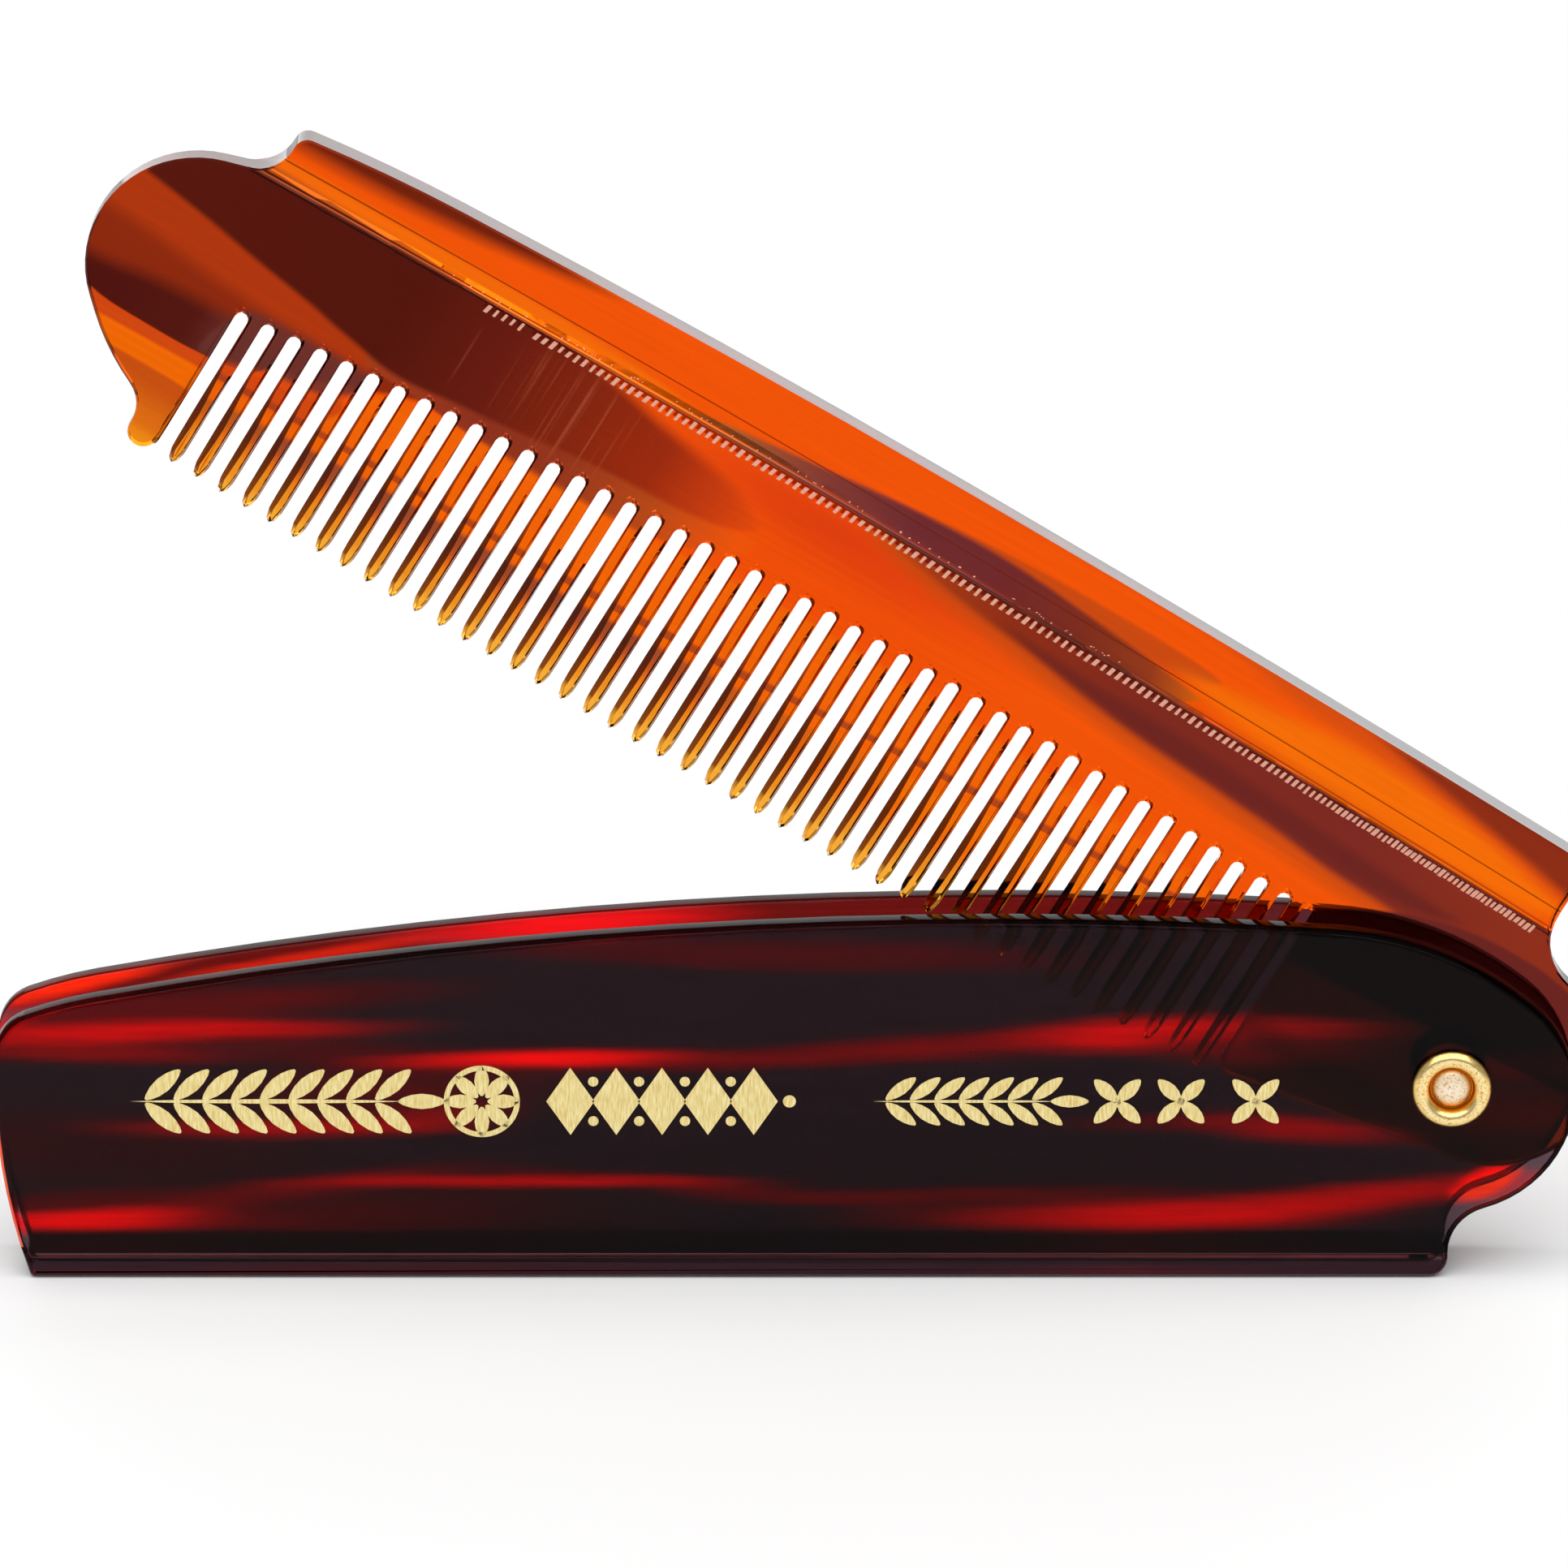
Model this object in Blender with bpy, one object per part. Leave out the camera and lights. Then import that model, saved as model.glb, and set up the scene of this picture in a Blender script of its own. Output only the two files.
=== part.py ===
"""Pocket folding comb: a U-shaped case that stands on its spine, a toothed blade that swings out of
it, and the tubular rivet that both turn on.

Lengths are in millimetres times MM, so the scene is in metres. X runs along the case with the hinge at
its right end, Y goes from the front leaf to the back leaf, and Z is up from the face the spine rests on.
Outlines are drawn in the X-Z plane.
"""

import math

import bmesh
import bpy
import numpy as np
from mathutils import Matrix, Vector

MM = 0.001
ARC_SAGITTA = 0.012 * MM  # how far a chord may stray from its arc
NEAR = 0.001 * MM
CROWDING = 0.09 * MM  # outline points nearer than this to a line's end are left out

# Hinge, shared by the three pieces
PIVOT = Vector((45.8, 0.0, 13.1)) * MM
OPEN_ANGLE = math.radians(31.3)  # comb against the case, 0 when its teeth stand square to the spine
BARREL_RADIUS = 1.7 * MM
RUNNING_GAP = 0.3 * MM
BORE_RADIUS = BARREL_RADIUS + RUNNING_GAP

# Case
CASE_WIDTH = 6.5 * MM
LEAF_THICKNESS = 1.65 * MM
SPINE_THICKNESS = 1.3 * MM
LEAF_OUTER_ROUND = 0.45 * MM
LEAF_INNER_ROUND = 0.25 * MM
SPINE_LEFT_ROUND = 0.3 * MM
SPINE_RIGHT_ROUND = 1.2 * MM
SPINE_END_X = 45.75 * MM
CASE_NOTCH_RADIUS = 3.2 * MM
HEAD_CENTRE = Vector((45.8, 12.4)) * MM
HEAD_RADIUS = 8.05 * MM
SHOULDER_ANGLE = math.radians(50)  # where the head's curve eases into the shoulder, from level
TOP_RADIUS = 322 * MM
TOP_PEAK = Vector((16.9, 24.45)) * MM
TOP_REACH = 58.4 * MM  # from the peak to where the top starts to drop to its left corner
TOP_END_RADIUS = 28 * MM
TOP_LEFT_ROUND = 3 * MM
LEFT_END_CENTRE = Vector((-8.0, 12.9)) * MM
LEFT_END_RADIUS = 40 * MM

# Comb, from the hinge, with the nose at -X and the back up
BACK_PEAK = Vector((-47, 17.46)) * MM
BACK_RIGHT_RADIUS = 1650 * MM
BACK_LEFT_RADIUS = 900 * MM
BACK_LEFT_REACH = 37 * MM  # from the peak to where the back starts to drop to its left corner
BACK_END_RADIUS = 120 * MM
CREST_RADIUS = 2000 * MM
CREST_PEAK = Vector((-62, 14.12)) * MM
STEP_RADIUS = 1850 * MM
STEP_PEAK = Vector((-60, 12.88)) * MM
WALL_DROP = 0.32 * MM
COVE_DROP = 0.9 * MM
LINE_POINTS = 18  # points across the comb on its crest, its step, the step's foot and the cove's edge
BACK_HALF = 1.22 * MM  # half thicknesses, from the back edge down
CREST_HALF = 1.3 * MM
STEP_HALF = 1.27 * MM
FOOT_HALF = 1.06 * MM
BLADE_HALF = 0.98 * MM
TIP_HALF = 0.42 * MM
RIM_BEVEL = 0.13 * MM
BAND_END_X = 0.1 * MM
BAND_RIGHT_ROUND = 0.6 * MM
BAND_LEFT_ROUND = 0.9 * MM
TAIL_NOTCH = (Vector((4.1, 13.1)) * MM, 4.0 * MM)
TAIL_CENTRE = Vector((2.0, 2.2)) * MM
NOSE_NOTCH = (Vector((-98.05, 14.73)) * MM, 2.7 * MM)
NOSE = (Vector((-96.5, 4.85)) * MM, 7.2 * MM)
CHIN = (Vector((-89.22, 10.82)) * MM, 16.54 * MM)
GUARD_FILLET = 2.4 * MM
GUARD_LEFT_RADIUS = 1.0 * MM
GUARD_RIGHT_RADIUS = 0.9 * MM
GUARD_Z = -6.5 * MM

# Teeth
SLOTS = 44
FIRST_SLOT_X = -92.5 * MM
PITCH = 1.8325 * MM
SLOT_WIDTH = 0.88 * MM
ROOT_RADIUS = 448 * MM
ROOT_PEAK = Vector((-46.4, 6.06)) * MM
TIP_LINE_RADIUS = 1530 * MM
TIP_LINE_LOW = Vector((-38.4, -8.32)) * MM
TIP_LENGTH = 0.9 * MM
ROOT_STEPS = 5
TIP_STEPS = 4

# Rivet
RING_RADIUS = 2.58 * MM
RING_HEIGHT = 0.55 * MM
CUP_RADIUS = 1.5 * MM
CUP_FLOOR_RADIUS = 1.2 * MM
CUP_DEPTH = 0.6 * MM
CUP_DISH = 0.15 * MM
TAIL_HEAD_RADIUS = 2.45 * MM
TAIL_HEAD_HEIGHT = 0.5 * MM
HEAD_GAP = 0.25 * MM
RIVET_SIDES = 32
RING_STEPS = 6

TORTOISESHELL_DARK = (0.10, 0.008, 0.006)
TORTOISESHELL_AMBER = (0.62, 0.075, 0.006)
BRASS = (0.85, 0.60, 0.22)


def clear_scene():
    for obj in list(bpy.data.objects):
        bpy.data.objects.remove(obj, do_unlink=True)


def material(name, colour, roughness, metallic=0.0):
    made = bpy.data.materials.new(name)
    made.use_nodes = True
    shader = made.node_tree.nodes["Principled BSDF"]
    shader.inputs["Base Color"].default_value = (*colour, 1)
    shader.inputs["Roughness"].default_value = roughness
    shader.inputs["Metallic"].default_value = metallic
    return made


def add_object(name, bm, finish):
    """A new object that holds the mesh, smooth but for its real edges."""
    mesh = bpy.data.meshes.new(name)
    bm.to_mesh(mesh)
    bm.free()
    mesh.materials.append(finish)
    mesh.shade_smooth()
    mesh.set_sharp_from_angle(angle=math.radians(35))
    obj = bpy.data.objects.new(name, mesh)
    bpy.context.collection.objects.link(obj)
    return obj


def turned(vector, angle):
    return Matrix.Rotation(angle, 2) @ vector


def arc(centre, radius, start, end):
    """Points along an arc between two angles, with no chord further from it than the sagitta."""
    step = 2 * math.acos(1 - ARC_SAGITTA / radius)
    count = max(1, math.ceil(abs(end - start) / step))
    angles = np.linspace(start, end, count + 1)
    return [centre + radius * Vector((math.cos(a), math.sin(a))) for a in angles]


def belt(wheels, start=None, end=None):
    """The outline that a belt takes round the wheels, anticlockwise.

    A wheel is a centre and a radius, which is negative where the belt bends round its outside. Two
    wheels that touch hand the belt over, and any others have a straight run between them. Without a
    start and an end angle the belt is closed.
    """
    closed = start is None
    pairs = list(zip(wheels, wheels[1:] + wheels[:1] if closed else wheels[1:]))
    joins = []
    for (centre, radius), (next_centre, next_radius) in pairs:
        across = next_centre - centre
        lean = max(-1.0, min(1.0, (radius - next_radius) / across.length))
        joins.append(math.atan2(across.y, across.x) - math.acos(lean))
    if closed:
        arrivals, departures = joins[-1:] + joins[:-1], joins
    else:
        arrivals, departures = [start] + joins, joins + [end]
    points = []
    for (centre, radius), arrive, leave in zip(wheels, arrivals, departures):
        sweep = math.remainder(leave - arrive, math.tau)
        if radius > 0 and sweep < -1e-6:
            sweep += math.tau
        turn = 0 if radius > 0 else math.pi
        points += arc(centre, abs(radius), arrive + turn, arrive + turn + sweep)
    return without_doubles(points)


def without_doubles(points, near=0.02 * MM):
    kept = [points[0]]
    for point in points[1:]:
        if (point - kept[-1]).length > near:
            kept.append(point)
    return kept


def meeting(centre_a, reach_a, centre_b, reach_b, side):
    """The point at the two given distances from two centres, on the left of a to b where side is 1."""
    across = centre_b - centre_a
    along = (reach_a**2 - reach_b**2 + across.length_squared) / (2 * across.length)
    off = math.sqrt(reach_a**2 - along**2)
    direction = across.normalized()
    return centre_a + along * direction + side * off * turned(direction, math.pi / 2)


def eased(wheel, angle, radius):
    """A wheel of another radius that takes over from the first one at an angle."""
    centre, first_radius = wheel
    return centre + (first_radius - radius) * Vector((math.cos(angle), math.sin(angle))), radius


def crown(x, radius, peak):
    """Height at x of an arc with the given highest point, or lowest for a negative radius."""
    rise = abs(radius) - math.sqrt(radius**2 - (x - peak.x) ** 2)
    return peak.y - math.copysign(rise, radius)


def case_outline():
    top_centre = TOP_PEAK - Vector((0, TOP_RADIUS))
    # A shoulder inside the head's curve at one angle and inside the top's curve wherever they touch
    heading = Vector((math.cos(SHOULDER_ANGLE), math.sin(SHOULDER_ANGLE)))
    between = HEAD_CENTRE - top_centre
    inner = TOP_RADIUS - HEAD_RADIUS
    growth = (inner**2 - between.length_squared) / (2 * (inner - between.dot(heading)))
    shoulder = eased((HEAD_CENTRE, HEAD_RADIUS), SHOULDER_ANGLE, HEAD_RADIUS + growth)
    drop_angle = math.pi / 2 + math.asin(TOP_REACH / TOP_RADIUS)
    top_end = eased((top_centre, TOP_RADIUS), drop_angle, TOP_END_RADIUS)
    top_left = meeting(
        LEFT_END_CENTRE,
        LEFT_END_RADIUS - TOP_LEFT_ROUND,
        top_end[0],
        TOP_END_RADIUS - TOP_LEFT_ROUND,
        side=-1,
    )
    spine_left_z = SPINE_LEFT_ROUND - LEFT_END_CENTRE.y
    spine_left_x = -math.sqrt((LEFT_END_RADIUS - SPINE_LEFT_ROUND) ** 2 - spine_left_z**2)
    notch_x = SPINE_END_X + CASE_NOTCH_RADIUS
    notch_drop = math.sqrt(
        (HEAD_RADIUS + CASE_NOTCH_RADIUS) ** 2 - (notch_x - HEAD_CENTRE.x) ** 2
    )
    return belt(
        [
            (LEFT_END_CENTRE + Vector((spine_left_x, spine_left_z)), SPINE_LEFT_ROUND),
            (Vector((SPINE_END_X - SPINE_RIGHT_ROUND, SPINE_RIGHT_ROUND)), SPINE_RIGHT_ROUND),
            (Vector((notch_x, HEAD_CENTRE.y - notch_drop)), -CASE_NOTCH_RADIUS),
            (HEAD_CENTRE, HEAD_RADIUS),
            shoulder,
            (top_centre, TOP_RADIUS),
            top_end,
            (top_left, TOP_LEFT_ROUND),
            (LEFT_END_CENTRE, LEFT_END_RADIUS),
        ]
    )


def slot_x(index):
    return FIRST_SLOT_X + index * PITCH


def teeth_outline():
    """From the first slot's left wall to the last one's right wall, a round-ended tooth between two."""
    half_slot = SLOT_WIDTH / 2
    half_tooth = (PITCH - SLOT_WIDTH) / 2
    points = []
    for index in range(SLOTS):
        middle = slot_x(index)
        root_z = crown(middle, ROOT_RADIUS, ROOT_PEAK) - half_slot
        for turn in np.linspace(math.pi, 0, ROOT_STEPS + 1):
            points.append(Vector((middle, root_z)) + turned(Vector((half_slot, 0)), turn))
        if index == SLOTS - 1:
            break
        tooth_x = middle + PITCH / 2
        tip_z = crown(tooth_x, -TIP_LINE_RADIUS, TIP_LINE_LOW) + TIP_LENGTH
        for turn in np.linspace(math.pi, math.tau, TIP_STEPS + 1):
            round_x = half_tooth * math.cos(turn)
            round_z = TIP_LENGTH * math.sin(turn)
            points.append(Vector((tooth_x + round_x, tip_z + round_z)))
    return points


def comb_outline():
    back_right = (BACK_PEAK - Vector((0, BACK_RIGHT_RADIUS)), BACK_RIGHT_RADIUS)
    back_left = eased(back_right, math.pi / 2, BACK_LEFT_RADIUS)
    drop_angle = math.pi / 2 + math.asin(BACK_LEFT_REACH / BACK_LEFT_RADIUS)
    back_end = eased(back_left, drop_angle, BACK_END_RADIUS)
    tail_notch_centre, tail_notch_radius = TAIL_NOTCH
    nose_notch_centre, nose_notch_radius = NOSE_NOTCH
    chin_centre, chin_radius = CHIN
    tail_radius = (tail_notch_centre - TAIL_CENTRE).length - tail_notch_radius
    right_corner_x = BAND_END_X - BAND_RIGHT_ROUND
    right_corner_z = crown(right_corner_x, BACK_RIGHT_RADIUS, BACK_PEAK) - BAND_RIGHT_ROUND
    left_corner = meeting(
        nose_notch_centre,
        nose_notch_radius + BAND_LEFT_ROUND,
        back_end[0],
        BACK_END_RADIUS - BAND_LEFT_ROUND,
        side=1,
    )
    left_guard_x = slot_x(0) - SLOT_WIDTH / 2 - GUARD_LEFT_RADIUS
    fillet_x = left_guard_x - GUARD_LEFT_RADIUS - GUARD_FILLET
    fillet_drop = math.sqrt((chin_radius + GUARD_FILLET) ** 2 - (fillet_x - chin_centre.x) ** 2)
    right_guard_x = slot_x(SLOTS - 1) + SLOT_WIDTH / 2 + GUARD_RIGHT_RADIUS
    body = belt(
        [
            (Vector((right_guard_x, GUARD_Z)), GUARD_RIGHT_RADIUS),
            (TAIL_CENTRE, tail_radius),
            (tail_notch_centre, -tail_notch_radius),
            (Vector((right_corner_x, right_corner_z)), BAND_RIGHT_ROUND),
            back_right,
            back_left,
            back_end,
            (left_corner, BAND_LEFT_ROUND),
            (nose_notch_centre, -nose_notch_radius),
            NOSE,
            CHIN,
            (Vector((fillet_x, chin_centre.y - fillet_drop)), -GUARD_FILLET),
            (Vector((left_guard_x, GUARD_Z)), GUARD_LEFT_RADIUS),
        ],
        start=math.pi,
        end=math.tau,
    )
    return teeth_outline() + body


def crest(x):
    return crown(x, CREST_RADIUS, CREST_PEAK)


def step(x):
    return crown(x, STEP_RADIUS, STEP_PEAK)


def step_foot(x):
    return step(x) - WALL_DROP


def cove(x):
    return step(x) - COVE_DROP


def blade_half(z):
    """The blade's wedge: half its thickness, even along the comb and thinner towards the tips."""
    tip, top = TIP_LINE_LOW.y, STEP_PEAK.y - COVE_DROP
    return TIP_HALF + (BLADE_HALF - TIP_HALF) * (z - tip) / (top - tip)


def comb_half(x, z):
    """Half the comb's thickness at a point of its side."""
    if z <= cove(x):
        return blade_half(z)
    heights = (cove(x), step_foot(x), step(x), crest(x), BACK_PEAK.y)
    halves = (blade_half(cove(x)), FOOT_HALF, STEP_HALF, CREST_HALF, BACK_HALF)
    return float(np.interp(z, heights, halves))


def crossings(outline, line):
    """The outline with a point added wherever it crosses the line, and those points."""
    full, added = [], []
    for here, there in zip(outline, outline[1:] + outline[:1]):
        full.append(here)
        above, below = here.y - line(here.x), there.y - line(there.x)
        if above * below < 0:
            point = here.lerp(there, above / (above - below))
            full.append(point)
            added.append(point)
    return full, added


def side_face(bm, outline, lines, line_points=0):
    """One flat side of a piece, parted along the lines that run across it."""
    ends = []
    for line in lines:
        outline, added = crossings(outline, line)
        ends.append(sorted(added, key=lambda point: point.x))
    marks = [point for pair in ends for point in pair]
    outline = [
        point
        for point in outline
        if any(point is mark for mark in marks)
        or all((point - mark).length > CROWDING for mark in marks)
    ]
    verts = [bm.verts.new((point.x, 0, point.y)) for point in outline]
    placed = dict(zip(map(id, outline), verts))
    bm.faces.new(verts)
    for line, (left, right) in zip(lines, ends):
        a, b = placed[id(left)], placed[id(right)]
        shared = next(face for face in a.link_faces if face in b.link_faces)
        inner = np.linspace(left.x, right.x, line_points + 2)[1:-1]
        coords = [(x, 0, line(x)) for x in inner]
        bmesh.utils.face_split(shared, a, b, coords=coords)


def mirror_and_bore(obj, bore):
    """Adds the other half across the middle plane, then cuts the rivet's hole."""
    mirror = obj.modifiers.new("other half", "MIRROR")
    mirror.use_axis = (False, True, False)
    mirror.merge_threshold = NEAR
    cut = obj.modifiers.new("rivet hole", "BOOLEAN")
    cut.operation = "DIFFERENCE"
    cut.solver = "EXACT"
    cut.object = bore


def make_bore():
    bpy.ops.mesh.primitive_cylinder_add(
        vertices=40,
        radius=BORE_RADIUS,
        depth=2 * CASE_WIDTH,
        location=PIVOT,
        rotation=(math.pi / 2, 0, 0),
    )
    bore = bpy.context.object
    bore.name = "rivet_bore"
    bore.hide_render = True
    bore.display_type = "WIRE"
    return bore


def extruded(bm, faces, distance):
    """Raises walls along +Y from faces, which stay, and gives back the caps."""
    made = bmesh.ops.extrude_face_region(bm, geom=faces)["geom"]
    bmesh.ops.translate(
        bm, verts=[v for v in made if isinstance(v, bmesh.types.BMVert)], vec=(0, distance, 0)
    )
    return [face for face in made if isinstance(face, bmesh.types.BMFace)]


def rim_edges(bm, y):
    """Edges of the outline that lie at one depth."""
    return [
        edge
        for edge in bm.edges
        if all(abs(v.co.y - y) < NEAR for v in edge.verts)
        and edge.calc_face_angle(0) > math.radians(60)
    ]


def slot_mouth_edges(bm, inner):
    """The leaf's inner rim above the slot's floor, and the floor's two ends."""
    above_floor = [
        edge
        for edge in rim_edges(bm, inner)
        if max(v.co.z for v in edge.verts) > SPINE_THICKNESS + NEAR
    ]
    floor_ends = [
        edge
        for edge in bm.edges
        if all(abs(v.co.z - SPINE_THICKNESS) < NEAR for v in edge.verts)
        and sorted(v.co.y > inner + NEAR for v in edge.verts) == [False, True]
    ]
    return above_floor + floor_ends


def make_case(bore):
    """The front leaf with half the spine behind it, rounded all round and mirrored."""
    bm = bmesh.new()
    side_face(bm, case_outline(), [lambda x: SPINE_THICKNESS])
    front, inner = -CASE_WIDTH / 2, -CASE_WIDTH / 2 + LEAF_THICKNESS
    bmesh.ops.translate(bm, verts=bm.verts, vec=(0, front, 0))
    caps = extruded(bm, list(bm.faces), LEAF_THICKNESS)
    spine_caps = [face for face in caps if face.calc_center_median().z < SPINE_THICKNESS]
    middle_caps = extruded(bm, spine_caps, -inner)
    bmesh.ops.delete(bm, geom=spine_caps + middle_caps, context="FACES_ONLY")
    bmesh.ops.recalc_face_normals(bm, faces=bm.faces)
    bmesh.ops.bevel(
        bm,
        geom=rim_edges(bm, front),
        offset=LEAF_OUTER_ROUND,
        segments=3,
        profile=0.5,
        affect="EDGES",
    )
    bmesh.ops.bevel(
        bm,
        geom=slot_mouth_edges(bm, inner),
        offset=LEAF_INNER_ROUND,
        segments=2,
        profile=0.5,
        affect="EDGES",
    )
    case = add_object("case", bm, material("tortoiseshell case", TORTOISESHELL_DARK, 0.08))
    mirror_and_bore(case, bore)


def make_comb(bore):
    """The comb's front half, from its side down to the middle plane, bevelled at the rim and mirrored."""
    bm = bmesh.new()
    side_face(bm, comb_outline(), [crest, step, step_foot, cove], LINE_POINTS)
    for vert in bm.verts:
        vert.co.y = -comb_half(vert.co.x, vert.co.z)
    rim = [edge for edge in bm.edges if edge.is_boundary]
    walls = bmesh.ops.extrude_edge_only(bm, edges=rim)["geom"]
    for vert in walls:
        if isinstance(vert, bmesh.types.BMVert):
            vert.co.y = 0
    bmesh.ops.recalc_face_normals(bm, faces=bm.faces)
    bmesh.ops.bevel(bm, geom=rim, offset=RIM_BEVEL, segments=1, affect="EDGES")
    # The long strips beside the step are bent, so they are parted across, into short triangles
    bent = [
        face
        for face in bm.faces
        if len(face.verts) > 4
        and any(abs((v.co - face.verts[0].co).dot(face.normal)) > NEAR for v in face.verts)
    ]
    bmesh.ops.triangulate(bm, faces=bent, quad_method="BEAUTY", ngon_method="BEAUTY")
    comb = add_object("comb", bm, material("tortoiseshell comb", TORTOISESHELL_AMBER, 0.08))
    comb.location = PIVOT
    comb.rotation_euler = (0, OPEN_ANGLE, 0)
    mirror_and_bore(comb, bore)


def rivet_profile():
    """Radius and depth from the cup's middle in front to the middle of the head behind."""
    front = -CASE_WIDTH / 2 - HEAD_GAP
    top = front - RING_HEIGHT
    back = CASE_WIDTH / 2 + HEAD_GAP
    ring_middle = (RING_RADIUS + CUP_RADIUS) / 2
    ring_half = (RING_RADIUS - CUP_RADIUS) / 2
    ring = [
        (ring_middle - ring_half * math.cos(turn), front - RING_HEIGHT * math.sin(turn))
        for turn in np.linspace(0, math.pi, RING_STEPS + 1)
    ]
    dome = [
        (TAIL_HEAD_RADIUS * math.cos(turn), back + TAIL_HEAD_HEIGHT * math.sin(turn))
        for turn in np.linspace(0, math.pi / 2, RING_STEPS + 1)
    ]
    cup_floor = top + CUP_DEPTH
    return (
        [(0, cup_floor + CUP_DISH), (CUP_FLOOR_RADIUS, cup_floor)]
        + ring[:-1]
        + [(RING_RADIUS, front), (BARREL_RADIUS, front), (BARREL_RADIUS, back)]
        + dome
    )


def make_rivet():
    """The profile turned round the hinge's axis."""
    bm = bmesh.new()
    verts = [bm.verts.new((radius, depth, 0)) for radius, depth in rivet_profile()]
    edges = [bm.edges.new(pair) for pair in zip(verts, verts[1:])]
    bmesh.ops.spin(
        bm,
        geom=verts + edges,
        cent=(0, 0, 0),
        axis=(0, 1, 0),
        angle=math.tau,
        steps=RIVET_SIDES,
        use_merge=True,
    )
    bmesh.ops.remove_doubles(bm, verts=bm.verts, dist=NEAR)
    bmesh.ops.recalc_face_normals(bm, faces=bm.faces)
    rivet = add_object("rivet", bm, material("brass", BRASS, 0.2, metallic=1.0))
    rivet.location = PIVOT


clear_scene()
rivet_bore = make_bore()
make_case(rivet_bore)
make_comb(rivet_bore)
make_rivet()
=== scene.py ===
"""Looks of the pocket folding comb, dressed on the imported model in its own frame."""

import math
import random

import bpy
from mathutils import Matrix, Vector


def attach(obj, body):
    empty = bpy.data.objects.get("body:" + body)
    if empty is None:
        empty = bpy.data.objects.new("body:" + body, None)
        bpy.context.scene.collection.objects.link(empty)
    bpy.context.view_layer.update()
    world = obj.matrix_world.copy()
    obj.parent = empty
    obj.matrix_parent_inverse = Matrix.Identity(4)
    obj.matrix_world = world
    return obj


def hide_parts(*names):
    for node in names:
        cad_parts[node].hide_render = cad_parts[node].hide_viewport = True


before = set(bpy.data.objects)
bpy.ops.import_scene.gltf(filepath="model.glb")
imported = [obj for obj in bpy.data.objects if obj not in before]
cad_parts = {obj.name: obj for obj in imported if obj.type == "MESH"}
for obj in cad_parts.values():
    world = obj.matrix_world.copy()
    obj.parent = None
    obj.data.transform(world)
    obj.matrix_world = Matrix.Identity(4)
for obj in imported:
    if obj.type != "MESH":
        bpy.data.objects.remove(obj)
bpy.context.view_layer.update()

MM = 0.001


# The case: one U-shaped cover, two 1.65 mm leaves and the spine that joins them, routed from a bar of
# tortoiseshell cellulose acetate. Its edges are rounded on a buff and the whole is polished, so it is
# as clear as glass and shows its flame figure in whatever light comes through.
MERGE_WITHIN = 0.0005 * MM
ACETATE_IOR = 1.49


def make_active(piece):
    bpy.ops.object.select_all(action="DESELECT")
    piece.select_set(True)
    bpy.context.view_layer.objects.active = piece


def edit_whole(piece):
    """Edit mode, with all of the piece selected."""
    make_active(piece)
    bpy.ops.object.mode_set(mode="EDIT")
    bpy.ops.mesh.select_all(action="SELECT")


def new_piece(name, mesh):
    piece = bpy.data.objects.new(name, mesh)
    bpy.context.scene.collection.objects.link(piece)
    return piece


def finer_copy(node_name, piece_name):
    """A CAD node's own shape as one closed skin, to be shaped further."""
    piece = new_piece(piece_name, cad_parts[node_name].data.copy())
    make_active(piece)
    bpy.ops.mesh.customdata_custom_splitnormals_clear()
    edit_whole(piece)
    bpy.ops.mesh.remove_doubles(threshold=MERGE_WITHIN)
    bpy.ops.object.mode_set(mode="OBJECT")
    return piece


def polish(piece, crease_degrees):
    """Smooth over the rounded rims, with the flat sides kept flat."""
    make_active(piece)
    bpy.ops.object.shade_smooth_by_angle(angle=math.radians(crease_degrees))
    flat_sides = piece.modifiers.new("flat sides", "WEIGHTED_NORMAL")
    flat_sides.keep_sharp = True
    bpy.ops.object.modifier_apply(modifier=flat_sides.name)


def linear(hex_colour):
    """An sRGB hex value as the linear colour that a shader takes."""
    shares = [int(hex_colour[i : i + 2], 16) / 255 for i in (1, 3, 5)]
    return [s / 12.92 if s <= 0.04045 else ((s + 0.055) / 1.055) ** 2.4 for s in shares] + [1]


def add_node(tree, kind, inputs, **settings):
    """The outputs of a new node that has its settings, and a value or a link for each socket named."""
    node = tree.nodes.new("ShaderNode" + kind)
    for name, value in settings.items():
        setattr(node, name, value)
    for socket, value in inputs.items():
        if isinstance(value, bpy.types.NodeSocket):
            tree.links.new(value, node.inputs[socket])
        else:
            node.inputs[socket].default_value = value
    return node.outputs


def new_finish(name):
    """An empty material, its tree, and the object coordinates that its patterns are laid on."""
    finish = bpy.data.materials.new(name)
    finish.use_nodes = True
    finish.node_tree.nodes.clear()
    return finish, finish.node_tree, add_node(finish.node_tree, "TexCoord", {})["Object"]


def figure_plane(tree, place, origin, turn, slant, front=0.0):
    """Object coordinates as (along, 0, up) from a point, with the figure slanted back from the front."""
    parts = add_node(tree, "SeparateXYZ", {0: place})
    depth = add_node(tree, "Math", {0: parts["Y"], 1: front}, operation="SUBTRACT")[0]
    slanted = {0: depth, 1: slant, 2: parts["Z"]}
    height = add_node(tree, "Math", slanted, operation="MULTIPLY_ADD")[0]
    flat = add_node(tree, "CombineXYZ", {"X": parts["X"], "Z": height})[0]
    turned = {"Vector": flat, "Location": origin, "Rotation": (0, turn, 0)}
    return add_node(tree, "Mapping", turned, vector_type="TEXTURE")[0]


def drawn_noise(tree, place, along, across, detail, roughness=0.5):
    """Noise drawn out along a figure, by the length and the width of its grain."""
    drawn = add_node(tree, "Mapping", {"Vector": place, "Scale": (1 / along, 1, 1 / across)})[0]
    grain = {"Vector": drawn, "Scale": 1.0, "Detail": detail, "Roughness": roughness}
    return add_node(tree, "TexNoise", grain)


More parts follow.
